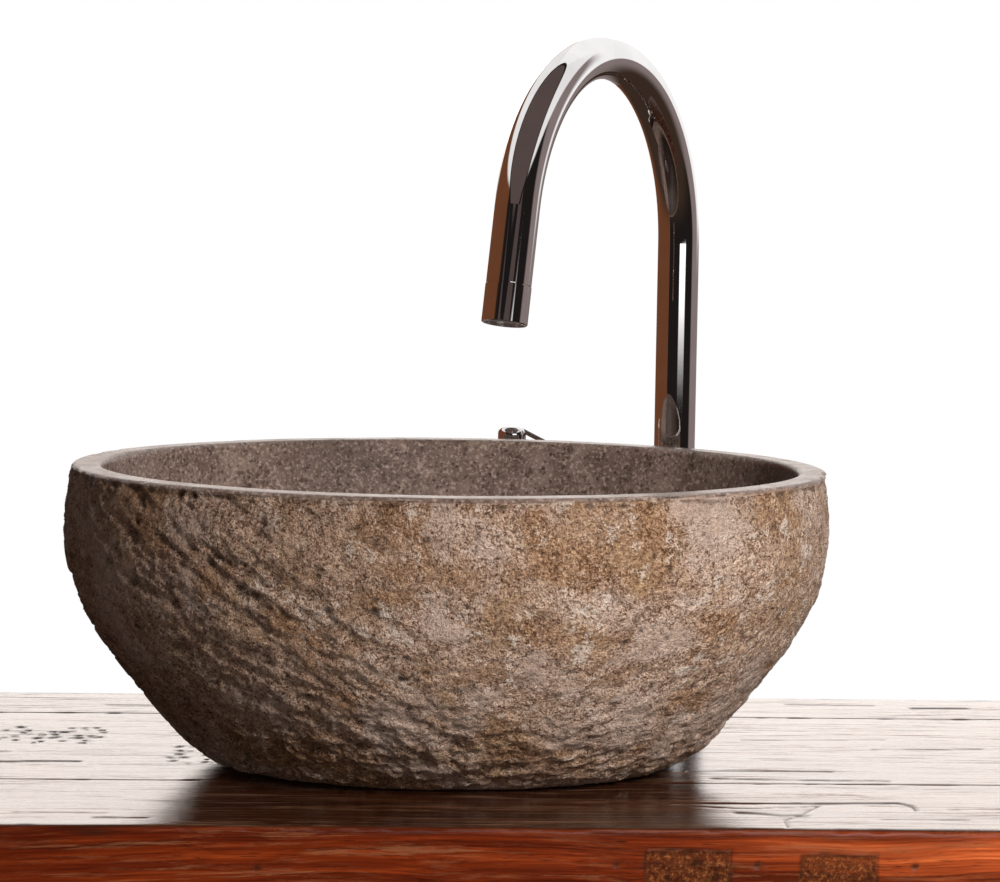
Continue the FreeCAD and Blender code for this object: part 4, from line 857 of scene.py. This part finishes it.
def make_studio():
    """White backdrop for the camera; for all else a dim warm room with soft white panels."""
    world = bpy.data.worlds.new("studio")
    bpy.context.scene.world = world
    world.use_nodes = True
    graph = Graph(world.node_tree)
    background = graph.nodes["Background"]
    way = graph.add("ShaderNodeTexCoord", {}).outputs["Generated"]
    split = graph.add("ShaderNodeSeparateXYZ", {0: way})
    x, y, z = split.outputs
    bearing = graph.math("DEGREES", graph.math("ARCTAN2", x, graph.math("MULTIPLY", y, -1.0)))
    height = graph.math("DEGREES", graph.math("ARCSINE", z))
    away = graph.math("ABSOLUTE", bearing)

    def between(value, low, high, soft):
        rise = graph.levels(value, low - soft, low + soft)
        return graph.math("MULTIPLY", rise, graph.levels(value, high - soft, high + soft, 1.0, 0.0))

    # dark room with a brown left, a grey right and a narrow white panel near the camera
    colour = graph.mix(between(bearing, -190.0, -56.0, 4.0), (0.014, 0.011, 0.010), (0.150, 0.054, 0.024))
    colour = graph.mix(between(bearing, 80.0, 190.0, 5.0), colour, (0.25, 0.20, 0.19))
    colour = graph.mix(graph.levels(height, -8.0, -30.0), colour, (0.045, 0.027, 0.018))
    panel = graph.math("MULTIPLY", between(bearing, 3.0, 36.0, 2.0), between(height, -3.0, 13.0, 1.5))
    colour = graph.mix(panel, colour, (1.75, 1.72, 1.68))

    shade = graph.math("MULTIPLY", between(bearing, -38.0, 20.0, 2.0), between(height, 14.0, 60.0, 1.5))
    colour = graph.mix(shade, colour, (0.088, 0.064, 0.058))

    # white above and behind, broken by a large dim shape over the camera
    colour = graph.mix(graph.math("SUBTRACT", graph.levels(height, 27.0, 31.0), shade, True), colour,
                       (0.93, 0.91, 0.90))
    right_back = graph.math("MULTIPLY", graph.levels(bearing, 112.0, 122.0), graph.levels(height, -2.0, 0.0))
    colour = graph.mix(right_back, colour, (1.05, 1.03, 1.02))
    behind = graph.math("MULTIPLY", graph.levels(away, 158.0, 164.0), between(height, 4.0, 26.0, 2.0))
    colour = graph.mix(behind, colour, (2.02, 1.84, 1.72))
    towards = graph.add("ShaderNodeVectorMath", {0: way, 1: (-0.10, -0.42, 0.902)}, operation="DOT_PRODUCT")
    nearness = towards.outputs["Value"]
    colour = graph.mix(graph.levels(nearness, 0.692, 0.700), colour, (0.012, 0.010, 0.010))
    colour = graph.mix(graph.levels(nearness, 0.722, 0.732), colour, (0.100, 0.072, 0.066))
    path = graph.add("ShaderNodeLightPath", {})
    dimmed = graph.mix(1.0, colour, (0.32, 0.27, 0.235), "MULTIPLY")
    colour = graph.mix(path.outputs["Is Diffuse Ray"], colour, dimmed)
    colour = graph.mix(path.outputs["Is Camera Ray"], colour, (1.0, 1.0, 1.0))
    graph.feed(background.inputs["Color"], colour)


def make_lamp(name, bearing, elevation, distance, size, power, colour):
    """A soft panel that faces the basin; bearing is measured from the front, positive to the right."""
    data = bpy.data.lights.new(name, "AREA")
    data.shape = "RECTANGLE"
    data.size, data.size_y = size
    data.energy = power
    data.color = colour
    lamp = bpy.data.objects.new(name, data)
    bpy.context.scene.collection.objects.link(lamp)
    target = sum(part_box("stone_basin"), Vector()) / 2
    turn, lift = math.radians(bearing), math.radians(elevation)
    back = Vector((math.sin(turn) * math.cos(lift), -math.cos(turn) * math.cos(lift), math.sin(lift)))
    lamp.location = target + back * distance
    lamp.rotation_mode = "QUATERNION"
    lamp.rotation_quaternion = (-back).to_track_quat("-Z", "Y")
    lamp.visible_glossy = False


def make_floor():
    """A pale disc well below the object that fades out at its edge."""
    material, graph, shader = new_material("floor_look", (0.8, 0.8, 0.79))
    place = graph.place()
    cloud = graph.noise(place, 1.4, 3.0)
    graph.feed(shader.inputs["Base Color"], graph.ramp(cloud, [(0.3, (0.78, 0.775, 0.765)),
                                                               (0.7, (0.84, 0.835, 0.825))]))
    shader.inputs["Roughness"].default_value = 0.7
    shader.inputs["Emission Color"].default_value = (1.0, 0.985, 0.965, 1.0)
    shader.inputs["Emission Strength"].default_value = 0.16
    reach = graph.add("ShaderNodeVectorMath", {0: graph.scaled(place, (1.0, 1.0, 0.0))}, operation="LENGTH")
    solid_radius = 0.6 * FLOOR_RADIUS
    alpha = graph.levels(reach.outputs["Value"], solid_radius, FLOOR_RADIUS, 1.0, 0.0)
    graph.feed(shader.inputs["Alpha"], alpha)
    sides, rings = 96, 6
    turns = np.arange(sides) * 2 * math.pi / sides
    points = [(0.0, 0.0, FLOOR_LEVEL)]
    for ring in range(1, rings + 1):
        radius = FLOOR_RADIUS * ring / rings
        points += [(radius * math.cos(turn), radius * math.sin(turn), FLOOR_LEVEL) for turn in turns]
    faces = [[0, 1 + side, 1 + (side + 1) % sides] for side in range(sides)]
    for ring in range(rings - 1):
        inner, outer = 1 + ring * sides, 1 + (ring + 1) * sides
        for side in range(sides):
            following = (side + 1) % sides
            faces.append([inner + side, outer + side, outer + following, inner + following])
    mesh = bpy.data.meshes.new("floor")
    mesh.from_pydata(points, [], faces)
    mesh.materials.append(material)
    floor = bpy.data.objects.new("floor", mesh)
    bpy.context.scene.collection.objects.link(floor)
    floor.visible_glossy = False


make_camera()
make_studio()
make_lamp("key_panel", 30.0, 27.0, 1.7, (0.34, 0.46), 45.0, (1.0, 0.94, 0.88))
make_lamp("fill_panel", -16.0, 3.0, 2.2, (0.5, 0.5), 7.0, (1.0, 0.80, 0.66))
make_floor()
dress_cad_nodes()
make_bowl(stone_material())
make_boards()
make_spring()
bpy.context.scene.view_settings.view_transform = "Standard"
